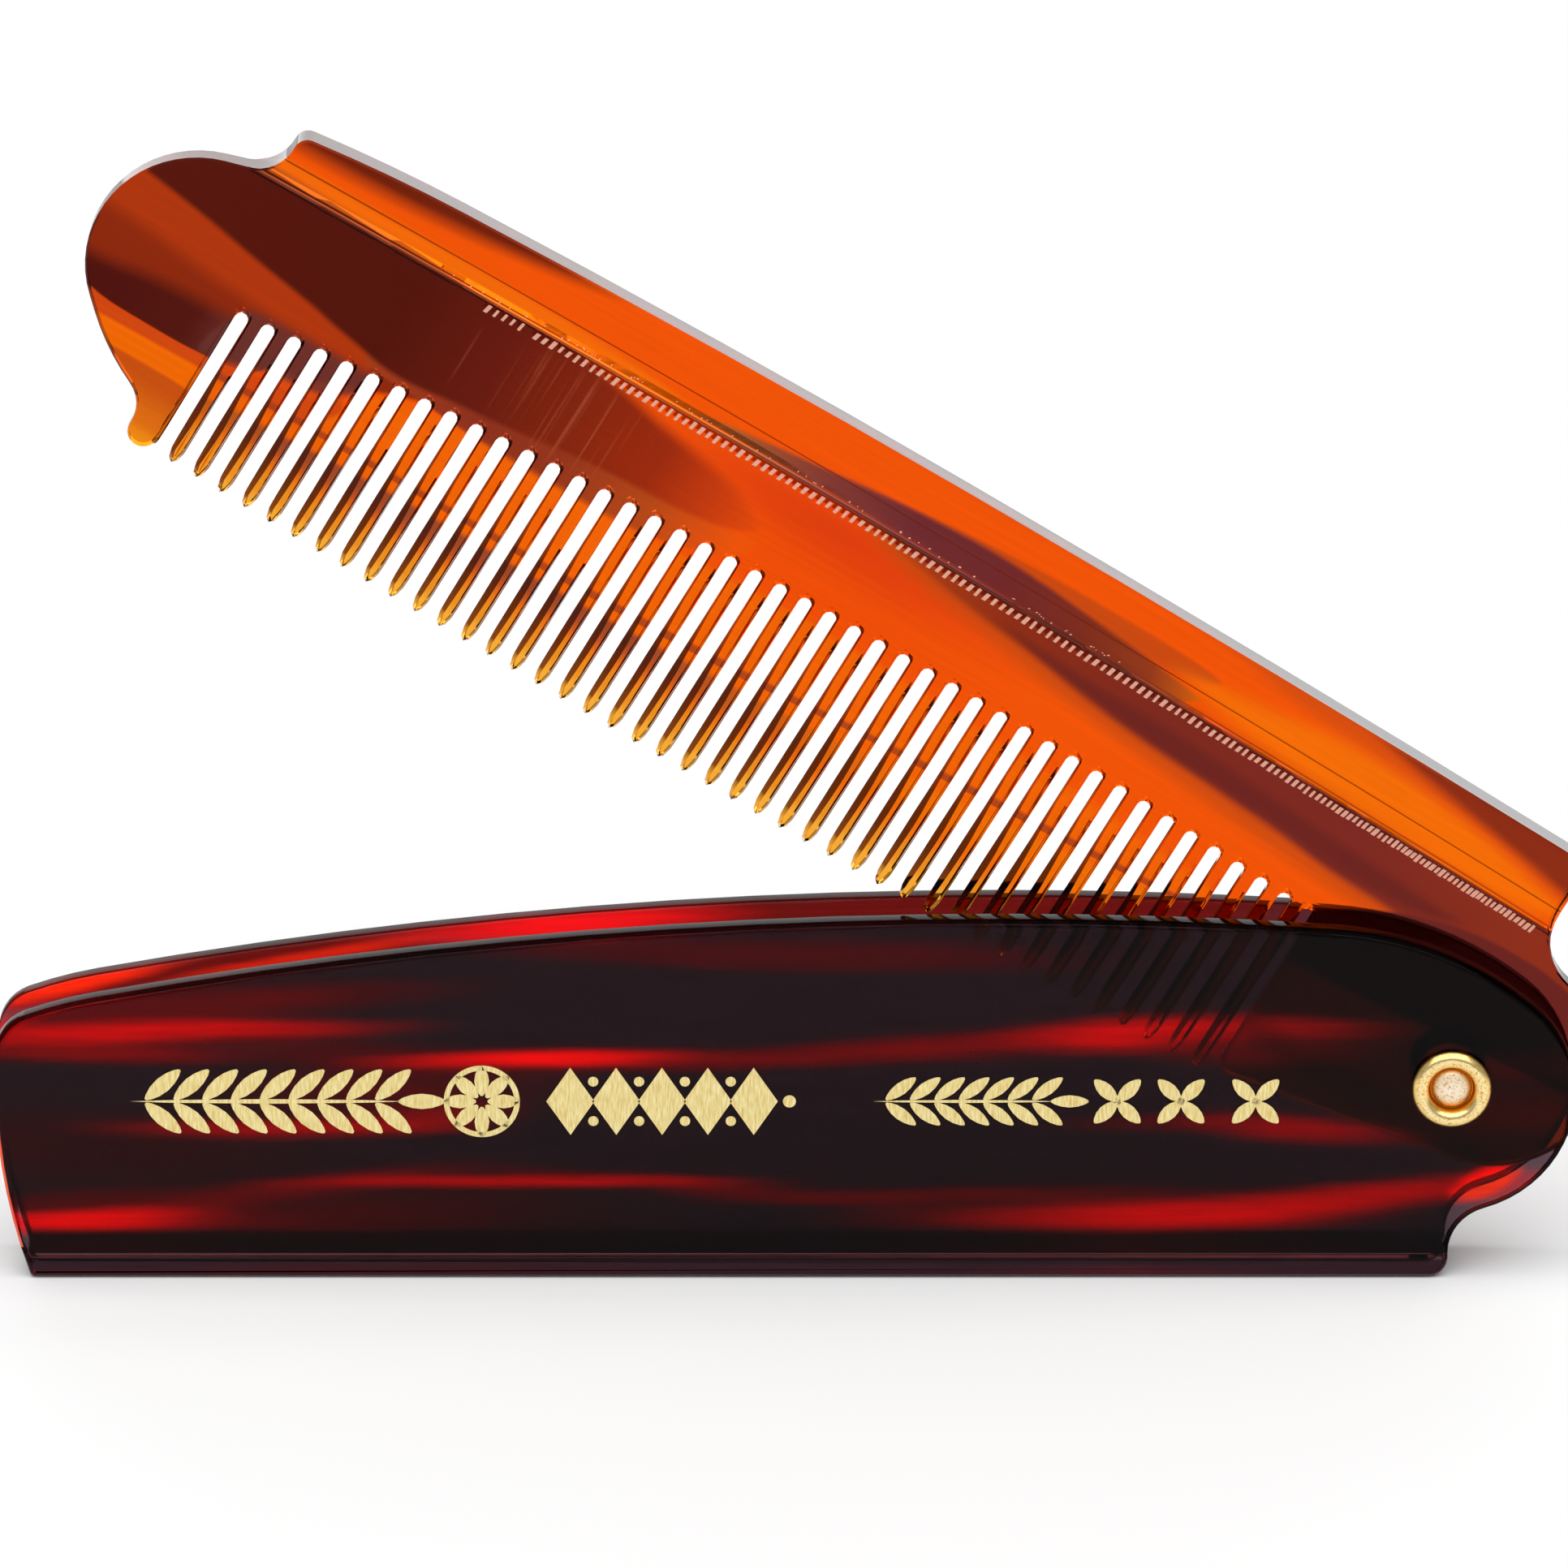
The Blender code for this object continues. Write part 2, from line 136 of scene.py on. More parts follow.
def wavered(tree, place, along, across, reach):
    """The figure's plane pushed about by soft noise, so that no streak has a ruled edge."""
    noise = drawn_noise(tree, place, along, across, 3.0, 0.55)["Color"]
    middle = (0.5, 0.5, 0.5)
    centred = add_node(tree, "VectorMath", {0: noise, 1: middle}, operation="SUBTRACT")[0]
    # Four times as far along the figure as across it
    push = {0: centred, 1: (8 * reach, 0, 2 * reach), 2: place}
    return add_node(tree, "VectorMath", push, operation="MULTIPLY_ADD")[0]


def lay_streaks(tree, place, ground, streaks):
    """Colour after each streak, a soft-edged oval, is laid over the ground in turn."""
    colour = ground
    for (along, up), (half_long, half_wide), tilt, shade, soft, strength in streaks:
        oval = {
            "Vector": place,
            "Location": (along * MM, 0, up * MM),
            "Rotation": (0, -math.radians(tilt), 0),
            "Scale": (half_long * MM, 1, half_wide * MM),
        }
        own = add_node(tree, "Mapping", oval, vector_type="TEXTURE")[0]
        reach = add_node(tree, "VectorMath", {0: own}, operation="LENGTH")["Value"]
        faded = {"Value": reach, 1: 1 + soft, 2: 1 - soft, 3: 0.0, 4: strength}
        share = add_node(tree, "MapRange", faded, interpolation_type="SMOOTHSTEP")[0]
        over = {0: share, 6: colour, 7: linear(shade)}
        colour = add_node(tree, "Mix", over, data_type="RGBA")[2]
    return colour


def over_line(tree, place, peak, radius):
    """Height over a long arc that has its top at a peak."""
    parts = add_node(tree, "SeparateXYZ", {0: place})
    across = add_node(tree, "Math", {0: parts["X"], 1: peak.x}, operation="SUBTRACT")[0]
    squared = add_node(tree, "Math", {0: across, 1: across}, operation="MULTIPLY")[0]
    above = add_node(tree, "Math", {0: parts["Z"], 1: peak.z}, operation="SUBTRACT")[0]
    fallen = {0: squared, 1: 0.5 / radius, 2: above}
    return add_node(tree, "Math", fallen, operation="MULTIPLY_ADD")[0]


SIGHT_SLANT = 0.285  # the figure leans back through the case, so both leaves' streaks lie in line
CASE_FRONT = -3.25 * MM
SPINE_TOP = 1.3 * MM
TOP_PEAK, TOP_RADIUS = Vector((16.9, 0, 24.45)) * MM, 322 * MM
CASE_GROUND, CASE_BRIM = "#5E4850", "#6A1412"
# Where the painted glow lies on the front leaf's left end
PAINTED_GLOW_X, PAINTED_GLOW_Y, PAINTED_GLOW_LOW, PAINTED_GLOW_HIGH = -44 * MM, -2.4 * MM, 1.6 * MM, 11 * MM
LEAF_TINT, LEAF_ROUGHNESS = 0.15, 0.05
# (along, up), (half length, half width) in mm, tilt in degrees, colour of one leaf, softness, strength,
# the last two from 0 to 1
CASE_STREAKS = [
    ((-44, 9.0), (14, 2.2), -2, "#6E3436", 0.7, 0.8),
    ((-36, 18.6), (14, 1.0), 4, "#98202A", 0.7, 0.9),
    ((-44, 15.6), (11, 0.8), -2, "#B01820", 0.6, 0.9),
    ((-38, 16.9), (13, 0.75), 1, "#DC0C16", 0.7, 1.0),
    ((-24, 15.2), (10, 0.9), -5, "#94202A", 0.8, 0.7),
    ((-1, 15.0), (18, 0.6), 1, "#98202A", 0.8, 0.8),
    ((-13, 15.0), (9, 0.55), 1, "#F2121E", 0.7, 1.0),
    ((-23, 12.8), (8, 1.5), 0, "#9A2028", 0.9, 0.7),
    ((-29, 10.3), (9, 0.6), 0, "#D8101C", 0.9, 0.8),
    ((-20, 11.0), (4, 0.8), 4, "#C5141C", 0.9, 0.7),
    ((-33, 5.4), (12, 0.8), 8, "#BC1820", 0.7, 0.9),
    ((-41, 5.4), (8, 0.6), 2, "#98202A", 0.8, 0.7),
    ((-41, 3.9), (9, 0.75), 1, "#FF1220", 0.7, 1.0),
    ((-27, 4.0), (8, 0.9), 2, "#A01C26", 0.8, 0.9),
    ((-22, 4.6), (12, 1.8), -2, "#803038", 0.8, 0.7),
    ((-2, 6.1), (12, 0.5), -5, "#A01C26", 0.8, 0.9),
    ((-14, 6.6), (12, 0.42), 0, "#D8121C", 0.8, 1.0),
    ((-2, 22.2), (15, 0.8), -2, "#86303A", 0.7, 0.9),
    ((8, 22.1), (12, 1.0), -1, "#86303A", 0.7, 0.8),
    ((14, 16.0), (15, 0.7), 4, "#AA1C26", 0.8, 0.9),
    ((27, 16.7), (8, 1.1), 2, "#DC101C", 0.7, 1.0),
    ((33, 15.8), (6, 1.0), 0, "#98202A", 0.8, 0.8),
    ((36, 17.2), (5, 0.6), -1, "#B8141E", 0.9, 0.9),
    ((52, 14.6), (4, 0.9), 0, "#8E2430", 0.8, 0.8),
    ((28, 10.6), (6, 0.5), 0, "#9A2028", 0.9, 0.7),
    ((36, 10.2), (6, 0.8), -4, "#C0182A", 0.8, 0.9),
    ((50, 11.4), (6, 1.2), 0, "#7C3038", 0.9, 0.8),
    ((14, 5.6), (13, 0.5), 1, "#A01C26", 0.8, 0.9),
    ((19, 4.2), (10, 0.8), 1, "#B01820", 0.8, 0.8),
    ((38, 5.3), (12, 0.9), 6, "#D8161E", 0.8, 1.0),
    ((28, 4.2), (10, 1.0), 1, "#F2121E", 0.8, 1.0),
    ((48.2, 6.6), (2.2, 0.9), 22, "#FF3418", 0.4, 1.0),
    # the brim of the back leaf, seen over the front one
    ((-43, 20.3), (10, 0.9), 14, "#FF2A10", 0.5, 1.0),
    ((-28, 21.7), (7, 0.35), 10, "#E02410", 0.8, 0.8),
    ((-11, 23.9), (8, 0.8), 4, "#F8161A", 0.8, 1.0),
    ((50, 24.4), (15, 1.6), 0, "#4E2C32", 0.4, 1.0),
]


def fine_lines(tree, place, along, across, depth):
    """Brightness that varies in long thin lines, as pigment drawn out in the sheet does."""
    noise = drawn_noise(tree, place, along, across, 4.0, 0.6)["Fac"]
    spread = {"Value": noise, 1: 0.25, 2: 0.75, 3: 1 - depth, 4: 1 + depth}
    return add_node(tree, "MapRange", spread)[0]


DRAG_LENGTH, DRAG_WIDTH = 10 / 3 * MM, 0.25 * MM  # coarser than a mop's real lines, so that they show


def polished_skin(tree, place, colour, tint, roughness, bending):
    """Clear acetate with the faint drag lines and specks that a polishing mop leaves."""
    drag = (1 / DRAG_LENGTH, 1 / DRAG_LENGTH, 1 / DRAG_WIDTH)
    drawn = add_node(tree, "Mapping", {"Vector": place, "Scale": drag})[0]
    lines = add_node(tree, "TexNoise", {"Vector": drawn, "Scale": 1.0, "Detail": 3.0})["Fac"]
    uneven = {"Value": lines, 1: 0.3, 2: 0.7, 3: roughness * 0.6, 4: roughness * 1.5}
    sockets = {
        "Base Color": colour,
        "Roughness": add_node(tree, "MapRange", uneven)[0],
        "IOR": bending,
        "Transmission Weight": 1.0,
        "Specular Tint": (tint, tint, tint, 1),
    }
    add_node(tree, "OutputMaterial", {"Surface": add_node(tree, "BsdfPrincipled", sockets)[0]})


def case_acetate(name, bending):
    """Polished cellulose acetate sheet: clear, near black where two leaves lie in line, with red flames."""
    finish, tree, place = new_finish(name)
    sheet = figure_plane(tree, place, (0, 0, 0), 0, SIGHT_SLANT, CASE_FRONT)
    over_top = over_line(tree, sheet, TOP_PEAK, TOP_RADIUS)
    in_brim = add_node(tree, "MapRange", {"Value": over_top, 1: -0.2 * MM, 2: 0.1 * MM})[0]
    grounds = {0: in_brim, 6: linear(CASE_GROUND), 7: linear(CASE_BRIM)}
    ground = add_node(tree, "Mix", grounds, data_type="RGBA")[2]
    figure = wavered(tree, sheet, 14 * MM, 2.2 * MM, 0.25 * MM)
    colour = lay_streaks(tree, figure, ground, CASE_STREAKS)
    lines = fine_lines(tree, sheet, 9 * MM, 0.25 * MM, 0.18)
    colour = add_node(tree, "VectorMath", {0: colour, "Scale": lines}, operation="SCALE")[0]
    # The spine is one solid 6.5 mm through, so what comes through it is darkened twice over
    height = add_node(tree, "SeparateXYZ", {0: place})["Z"]
    down_spine = {"Value": height, 1: SPINE_TOP + 0.1 * MM, 2: SPINE_TOP - 0.1 * MM}
    in_spine = add_node(tree, "MapRange", down_spine)[0]
    twice = {0: in_spine, 6: colour, 7: colour}
    colour = add_node(tree, "Mix", twice, data_type="RGBA", blend_type="MULTIPLY")[2]
    polished_skin(tree, place, colour, LEAF_TINT, LEAF_ROUGHNESS, bending)
    return finish


def clouded(tree, place, size, detail, shade, other_shade):
    """Colour that drifts between two shades in clouds of a size."""
    cloud = add_node(tree, "TexNoise", {"Vector": place, "Scale": 1 / size, "Detail": detail})["Fac"]
    shades = {0: cloud, 6: linear(shade), 7: linear(other_shade)}
    return add_node(tree, "Mix", shades, data_type="RGBA")[2]


def rim_acetate(name, shade, bending):
    """The same acetate seen in through its edge: so much of it in line that it is nearly black.

    It is given less bending than the sheet, as its edge mirrors the dark side of the studio.
    """
    finish, tree, place = new_finish(name)
    # 3 mm clouds, where the pigment runs out to the edge
    colour = clouded(tree, place, 3 * MM, 2.0, "#0C0202", shade)
    polished_skin(tree, place, colour, 0.4, 0.08, bending)
    return finish


def painted_glow_end(name, shade, deep):
    """Acetate where the light that has run along the sheet comes out, painted as a bright orange glow at
    its end.
    """
    finish, tree, place = new_finish(name)
    # 1.5 mm clouds, finer than those on the edge beside it
    colour = clouded(tree, place, 1.5 * MM, 2.0, deep, shade)
    sockets = {"Base Color": colour, "Roughness": 0.2, "IOR": ACETATE_IOR}
    add_node(tree, "OutputMaterial", {"Surface": add_node(tree, "BsdfPrincipled", sockets)[0]})
    return finish


def dress(piece, finish, body, slot, *nodes):
    piece.data.materials.clear()
    piece.data.materials.append(finish)
    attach(piece, body)
    if nodes:
        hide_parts(*nodes)


def finish_faces(piece, finish, chosen):
    """A finish of their own for the faces that a rule chooses by their centre and their normal."""
    piece.data.materials.append(finish)
    for face in piece.data.polygons:
        if chosen(face.center, face.normal):
            face.material_index = len(piece.data.materials) - 1


def on_case_rim(centre, normal):
    return abs(normal.y) < 0.8 and centre.z > SPINE_TOP


def on_painted_glow_bevel(centre, normal):
    """The front leaf's rounded left end, from just over the spine to half way up, where a glow is painted.
    """
    at_end = centre.x < PAINTED_GLOW_X and centre.y < PAINTED_GLOW_Y and PAINTED_GLOW_LOW < centre.z < PAINTED_GLOW_HIGH
    return at_end and normal.x < -0.3 and normal.y < -0.2


def on_lower_bevel(centre, normal):
    return normal.z < -0.05 and -0.97 < normal.y < -0.8


case_shell = finer_copy("case", "case_shell")
polish(case_shell, 50)
dark_acetate = case_acetate("polished dark tortoiseshell acetate", ACETATE_IOR)
dress(case_shell, dark_acetate, "case", "case_acetate", "case")
finish_faces(case_shell, rim_acetate("case acetate seen edge on", "#3A0808", 1.09), on_case_rim)
# The rounded left end gets a painted glow, bright orange and not see-through
finish_faces(case_shell, painted_glow_end("case acetate with a painted glow at its end", "#FF5A14", "#D82008"), on_painted_glow_bevel)
# The lower bevels mirror little, as they face the shadow that the case stands in
finish_faces(case_shell, case_acetate("dark tortoiseshell acetate in shadow", 1.25), on_lower_bevel)


# The comb: one 2.6 mm plate of lighter tortoiseshell acetate. Its back is left thick, the blade below
# the step is planed to a wedge, and the teeth are sawn one by one, pointed on a wheel and polished.
PIVOT = Vector((45.8, 0.0, 13.1)) * MM
OPEN_ANGLE = math.radians(31.3)
OUT_OF_COMB = Matrix.Translation(PIVOT) @ Matrix.Rotation(OPEN_ANGLE, 4, "Y")
FIRST_SLOT_X, FIRST_TOOTH_X = -92.5 * MM, -91.58 * MM
PITCH = 1.8325 * MM
TEETH = 43
TOOTH_HALF, SLOT_HALF = 0.476 * MM, 0.44 * MM
TOOTH_LENGTH = 14 * MM
ROW_MARGIN, ON_FACE = 0.5 * MM, 0.02 * MM  # beyond the end slots, and off a flat face
ROOT_PEAK, ROOT_RADIUS = Vector((-46.4, 0, 5.62)) * MM, 448 * MM
ROOT_ROUND, ROOT_REACH = 0.57 * MM, 0.6 * MM  # how far a slot's end is rounded, up and to each side
ROOT_TUCK = 0.18  # share by which it draws in there
TIP_LOW, TIP_RADIUS = Vector((-38.4, 0, -8.32)) * MM, 1530 * MM
BLADE_TIP_Z, BLADE_TIP_HALF = -8.32 * MM, 0.42 * MM
BLADE_TOP_Z, BLADE_TOP_HALF = 11.98 * MM, 0.98 * MM
POINTING_LEVELS = [10.0, 7.6, 4.4, 3.4, 2.4, 1.4, 0.4, -0.6, -1.6, -2.6, -3.6, -4.6, -5.5, -6.3, -6.9]  # mm
# Down a tooth, from its root at 0 to its tip at 1, in shares: how much of its face the pointing wheel
# takes off at the left in front, and elsewhere, and how much of the wall and of the width is left
LEFT_FACETS = [
    (0.0, -0.28), (0.19, -0.09), (0.4, 0.35), (0.62, 0.85), (0.76, 0.75), (0.9, 0.5), (1.0, 0.25),
]
OTHER_FACETS = [(0.0, -0.28), (0.3, -0.14), (0.7, 0.05), (1.0, 0.2)]
WALLS = [(0.0, 1.1), (0.3, 1.0), (0.6, 0.6), (1.0, 0.4)]
TAPER = [(0.0, 1.0), (0.65, 1.03), (0.88, 1.0), (1.0, 0.85)]
NOSE_RIM_X, NOSE_BEVEL_X = -93.5 * MM, -95.5 * MM
WALL_LEAN = 0.16  # the saw stood a little askew, so each tooth's wall towards the nose leans back
ROOT_SHIFT, TIP_SHIFT = 0.05 * MM, 0.14 * MM  # towards the hinge, the second by how far down a tooth
STEP_PEAK, STEP_RADIUS = Vector((-60, 0, 12.88)) * MM, 1850 * MM
CREST_PEAK, CREST_RADIUS = Vector((-62, 0, 14.12)) * MM, 2000 * MM

COMB_GROUND = "#EE5204"
COMB_TINT, COMB_FRONT, COMB_SLANT = 0.03, -1.1 * MM, 0.22
SCRATCHED_AT, SCRATCHED_HALF = (-72.5 * MM, 0, 8.7 * MM), (8 * MM, 1, 3.4 * MM)
SCRATCH_WIDE, SCRATCH_LONG = 0.35 * MM, 25 * MM
FLAME_FROM, FLAME_TO = (-10, -12), (112, 22)  # mm, the sheet that the flames are drawn on
# A flame's lower edge and its upper edge, each as points (mm from the pivot towards the nose, mm up) and
# how far its colour takes to fade there, then its colour, or its colours along it, and its strength.
# Where a flame runs off the comb, its edge is the sheet's own.
FROM_BELOW = ([(112, -12), (-10, -12)], 0.1)
TO_TOP = ([(112, 22), (-10, 22)], 0.1)
BLADE_FLAMES = [
    # the nose, brown, with a dark chin that ends crisply over a clear orange neck and the guard tooth
    ([(112, 0.0), (93, 0.1), (91, 1.0), (88, 1.7), (84, 3.2), (80, 4.6), (78, 5.4), (77, 22)], 0.5, *TO_TOP,
     "#8A280C", 1.0),
    ([(112, 5.9), (102, 5.5), (94, 4.7), (88, 4.3), (84, 4.3), (82.5, 22)], 1.5, *TO_TOP, "#AE360C", 0.95),
    ([(112, 0.4), (103, 0.4), (100, 0.0), (96, -0.05), (93, 0.1), (90, 0.6), (89, 5)], 0.25,
     [(112, 2.3), (103, 2.3), (98, 2.9), (93, 3.1), (90, 2.4)], 1.6,
     [(100, "#4E120C"), (95, "#52160E"), (92, "#6A2E26")], 1.0),
    ([(94.6, 7), (94.0, 0.2), (90, 1.0), (86, 1.5), (84, 2.6), (82, 6)], 0.8,
     [(94.2, 0.0), (93.6, 1.6), (93.0, 3.4), (92, 4.2), (82.4, 4.4)], 0.9, "#68302A", 0.9),
    (*FROM_BELOW, [(112, 0.2), (103, 0.35), (100, -0.05), (96, -0.1), (93, 0.05), (92.4, -12)], 0.2,
     "#CE460E", 1.0),
    (*FROM_BELOW, [(92.5, -12), (92, 0.2), (90, 0.7), (86, 1.3), (84.4, 2.2), (83, -12)], 1.0,
     "#CE460E", 1.0),
    (*FROM_BELOW, [(112, -1.2), (99, -0.95), (93, -0.8), (92.4, -12)], 0.35, "#EE6602", 1.0),
    (*FROM_BELOW, [(112, -2.6), (97, -2.4), (93, -2.5), (92.4, -12)], 0.3, "#C44E0E", 1.0),
    (*FROM_BELOW, [(112, -4.4), (93, -4.4), (92.4, -12)], 2.8, "#DA6A10", 1.0),
    (*FROM_BELOW, [(112, -6.3), (93, -6.3), (92.4, -12)], 1.2, "#EE8A14", 0.9),
    # the brown strip along the tooth tops, and over it the blade's long dark flame, faded half way
    ([(85.5, 9), (84, 4.9), (80, 4.6), (77, 4.3), (72, 4.1), (66, 4.1), (62, 4.7), (58, 6.0),
      (56, 10)], 0.3, [(84, 7), (58, 7.6)], 0.5,
     [(84, "#A03A18"), (76, "#8A301C"), (70, "#92341A"), (64, "#B24616"), (58, "#EA5206")], 1.0),
    ([(112, 9.4), (103, 8.7), (98, 8.0), (94, 7.3), (90, 6.6), (86, 5.8), (82, 5.2), (78, 5.6), (74, 6.0),
      (70, 6.5), (66, 6.8), (62, 7.0), (59, 7.5), (57, 8.6), (55, 12)], 0.55,
     [(112, 22), (80, 18), (76, 13.6), (72, 12.5), (69, 11.9), (66, 11.2), (63, 10.7), (60, 10.0),
      (58, 9.1), (57, 8.3)], 1.3,
     [(100, "#56160C"), (84, "#52140A"), (77, "#661A0E"), (71, "#80240E"), (65, "#98290C"),
      (60, "#C83C0C"), (56, "#EC4E06")], 1.0),
    # the blade's wedge towards the hinge, fading in two steps
    ([(58, 22), (52, 12.4), (46, 10.6), (42, 10.0), (36, 9.0), (30, 8.3), (24, 7.8), (18, 7.3), (12, 6.8),
      (-10, 5.2)], 1.6, *TO_TOP, "#C0480E", 0.8),
    ([(54, 22), (50, 12.4), (46, 11.4), (42, 10.8), (38, 10.3), (34, 9.7), (30, 9.2), (26, 8.9), (22, 8.6),
      (18, 8.3), (14, 7.8), (10, 7.6), (-10, 6.4)], 0.8, *TO_TOP,
     [(48, "#A83A12"), (40, "#8A2C14"), (30, "#7C281C"), (14, "#7A2820"), (0, "#8C2E1A")], 1.0),
    ([(46, 13), (38, 10.6), (30, 9.5), (20, 8.8), (10, 8.2), (4, 9.6), (2, 12)], 0.9,
     [(42, 11.2), (36, 10.8), (28, 10.6), (18, 10.0), (4, 9.2)], 0.9, "#66221E", 0.8),
    # the tail, with painted shade where the case lies behind it
    (*FROM_BELOW,
     [(14.9, -12), (14.3, 4.5), (13, 5.4), (10, 7.1), (8, 8.0), (4, 9.0), (0, 9.2), (-4, 8.7),
      (-10, 7.1)], 0.35, "#6A2420", 1.0),
    # across the teeth: yellower orange, a thin brown line, brown under it, and the clear amber edge
    ([(93, 8), (92.4, -12), (18, -12), (15, 8)], 0.1,
     [(92.4, -0.9), (86.5, -0.9), (84.5, 0.5), (81.5, 3.9), (78, 4.2), (66, 4.2), (54, 4.8), (40, 4.4),
      (20, 3.0)], 0.8, "#EE6404", 0.85),
    ([(92.4, 0), (91.9, -0.85), (86, -0.85), (75, -0.95), (65.6, -1.05), (56.5, -0.85), (43, 0.0),
      (38, 0.2), (30, 0.55), (22, 0.95)], 0.12,
     [(92.4, -1), (91.9, -0.4), (86, -0.4), (75, -0.5), (65.6, -0.55), (56.5, -0.3), (43, 0.45), (38, 0.7),
      (30, 1.05), (22, 1.35)], 0.3, "#A03C1A", 0.85),
    ([(92.2, -3.6), (22, -3.4)], 2.6,
     [(92.6, -12), (92.2, -2.5), (86, -1.95), (82, -1.75), (74, -1.65), (66, -1.75), (56, -1.55),
      (44, -1.1), (32, -0.2), (22, 0.6)], 0.5,
     [(90, "#B0561A"), (86, "#8E4228"), (60, "#8E4228"), (50, "#C85A12"), (40, "#EC6C06")], 0.9),
    (*FROM_BELOW, [(92.6, -12), (92.2, -4.3), (14, -4.3)], 2.6, "#E88C1E", 1.0),
    (*FROM_BELOW, [(92.6, -12), (92.2, -6.3), (14, -6.3)], 1.2, "#F4A834", 1.0),
]
BAND_FLAMES = [
    # yellower low down, a brown haze over the step at the nose, and under it painted shade that widens the
    # step's dark line there
    (*FROM_BELOW, [(112, 13.9), (94, 14.0), (80, 14.0), (68, 13.6), (62, 12.6), (50, 11)], 0.7,
     "#F26A08", 0.9),
    ([(112, 11), (80, 11), (77, 15)], 0.1,
     [(112, 13.1), (96, 13.2), (90, 13.1), (84, 12.9), (78, 12.3)], 0.4, "#B0501A", 0.75),
    ([(112, 11), (82, 11), (78, 15)], 0.1,
     [(112, 12.6), (96, 12.72), (90, 12.78), (84, 12.76), (80, 12.6)], 0.15, "#3A0E08", 0.9),
    # a dark wedge at the top by the nose
    ([(112, 14.7), (95.2, 14.8), (88, 15.0), (84, 15.3), (80, 15.8), (75, 16.6), (70, 18), (69, 22)], 0.9,
     *TO_TOP, "#B23A0A", 1.0),
    ([(112, 15.2), (95.2, 15.4), (88, 15.6), (84, 15.9), (80, 16.3), (75, 17.2), (73, 22)], 0.7, *TO_TOP,
     "#70200A", 1.0),
    # a reddish lens, over the dark one that rises from the step
    ([(50, 14.4), (44, 14.6), (38, 14.3), (33, 13.9), (28, 14.4), (26, 15.6)], 0.8,
     [(50, 14.7), (46, 15.1), (42, 15.35), (36, 15.5), (30, 15.4), (27, 15.1), (25.5, 14.6)], 0.3,
     "#C8480E", 1.0),
    ([(70, 11), (32, 11), (29, 12.2), (27, 13.4), (24, 15)], 0.3,
     [(68, 12.5), (64, 13.25), (60, 13.7), (56, 14.1), (52, 14.5), (48, 14.8), (44, 14.95), (40, 14.8),
      (36, 14.45), (32, 14.05), (29, 13.7), (26, 13.2)], 0.45,
     [(67, "#E06A14"), (62, "#A85628"), (56, "#823A30"), (49, "#6C2A2E"), (42, "#6E2828"), (36, "#7C2C1C"),
      (31, "#90381A"), (28, "#C05410"), (26, "#E66A06")], 1.0),
    # yellow orange towards the hinge, and a brown wedge down from the corner
    ([(34, 17), (27, 13.8), (16, 12.2), (4, 12.0), (-4, 16)], 1.8,
     [(24, 15.0), (16, 15.8), (8, 15.2), (2, 14.0)], 1.4, "#F27004", 0.8),
    ([(28, 17.4), (22, 16.4), (14, 15.9), (6, 14.9), (0, 13.8), (-10, 12)], 1.4, *TO_TOP, "#CC4A0E", 0.8),
    ([(20, 18.0), (13.4, 16.6), (7.8, 15.7), (2.3, 14.7), (-10, 12.4)], 1.0, *TO_TOP, "#8A2C14", 1.0),
]
COMB_CLOUDS = [
    ((-52, 8.0), (10, 4.5), 0, "#EA4A04", 0.8, 0.8),
    ((-52, 10.8), (11, 1.8), -2, "#DC3C0A", 0.9, 0.9),
]


def clipped(share):
    return min(1.0, max(0.0, share))


def blade_half(z):
    """Half the blade's thickness at a height, as a wedge from its top to the tips."""
    share = (z - BLADE_TIP_Z) / (BLADE_TOP_Z - BLADE_TIP_Z)
    return BLADE_TIP_HALF + (BLADE_TOP_HALF - BLADE_TIP_HALF) * share


def between(stops, share):
    """A value between stops, each one a share and its value."""
    for (low, start), (high, end) in zip(stops, stops[1:]):
        if share <= high:
            return start + (end - start) * max(0.0, share - low) / (high - low)
    return stops[-1][1]


def in_row(x):
    """Whether a place along the comb is among the slots."""
    return FIRST_SLOT_X - ROW_MARGIN < x < FIRST_SLOT_X + TEETH * PITCH + ROW_MARGIN


def nearest(x, first):
    """The nearest slot's or tooth's middle, by where the first one stands."""
    return first + round((x - first) / PITCH) * PITCH


def down_tooth(x, z):
    """How far a place is down its tooth, from 0 at the root to 1 at the tip."""
    root = ROOT_PEAK.z - (x - ROOT_PEAK.x) ** 2 / (2 * ROOT_RADIUS)
    tip = TIP_LOW.z + (x - TIP_LOW.x) ** 2 / (2 * TIP_RADIUS)
    return (root - z) / (root - tip)


def cut_loops(piece, levels, columns):
    """Edges across the teeth, and up from every slot, at places in the comb's own frame."""
    edit_whole(piece)
    bpy.ops.mesh.dissolve_limited(angle_limit=math.radians(0.01))
    for level in levels:
        bpy.ops.mesh.select_all(action="SELECT")
        bpy.ops.mesh.bisect(plane_co=(0, 0, level), plane_no=(0, 0, 1))
    for column in columns:
        bpy.ops.mesh.select_all(action="SELECT")
        bpy.ops.mesh.bisect(plane_co=(column, 0, 0), plane_no=(1, 0, 0))
    bpy.ops.object.mode_set(mode="OBJECT")


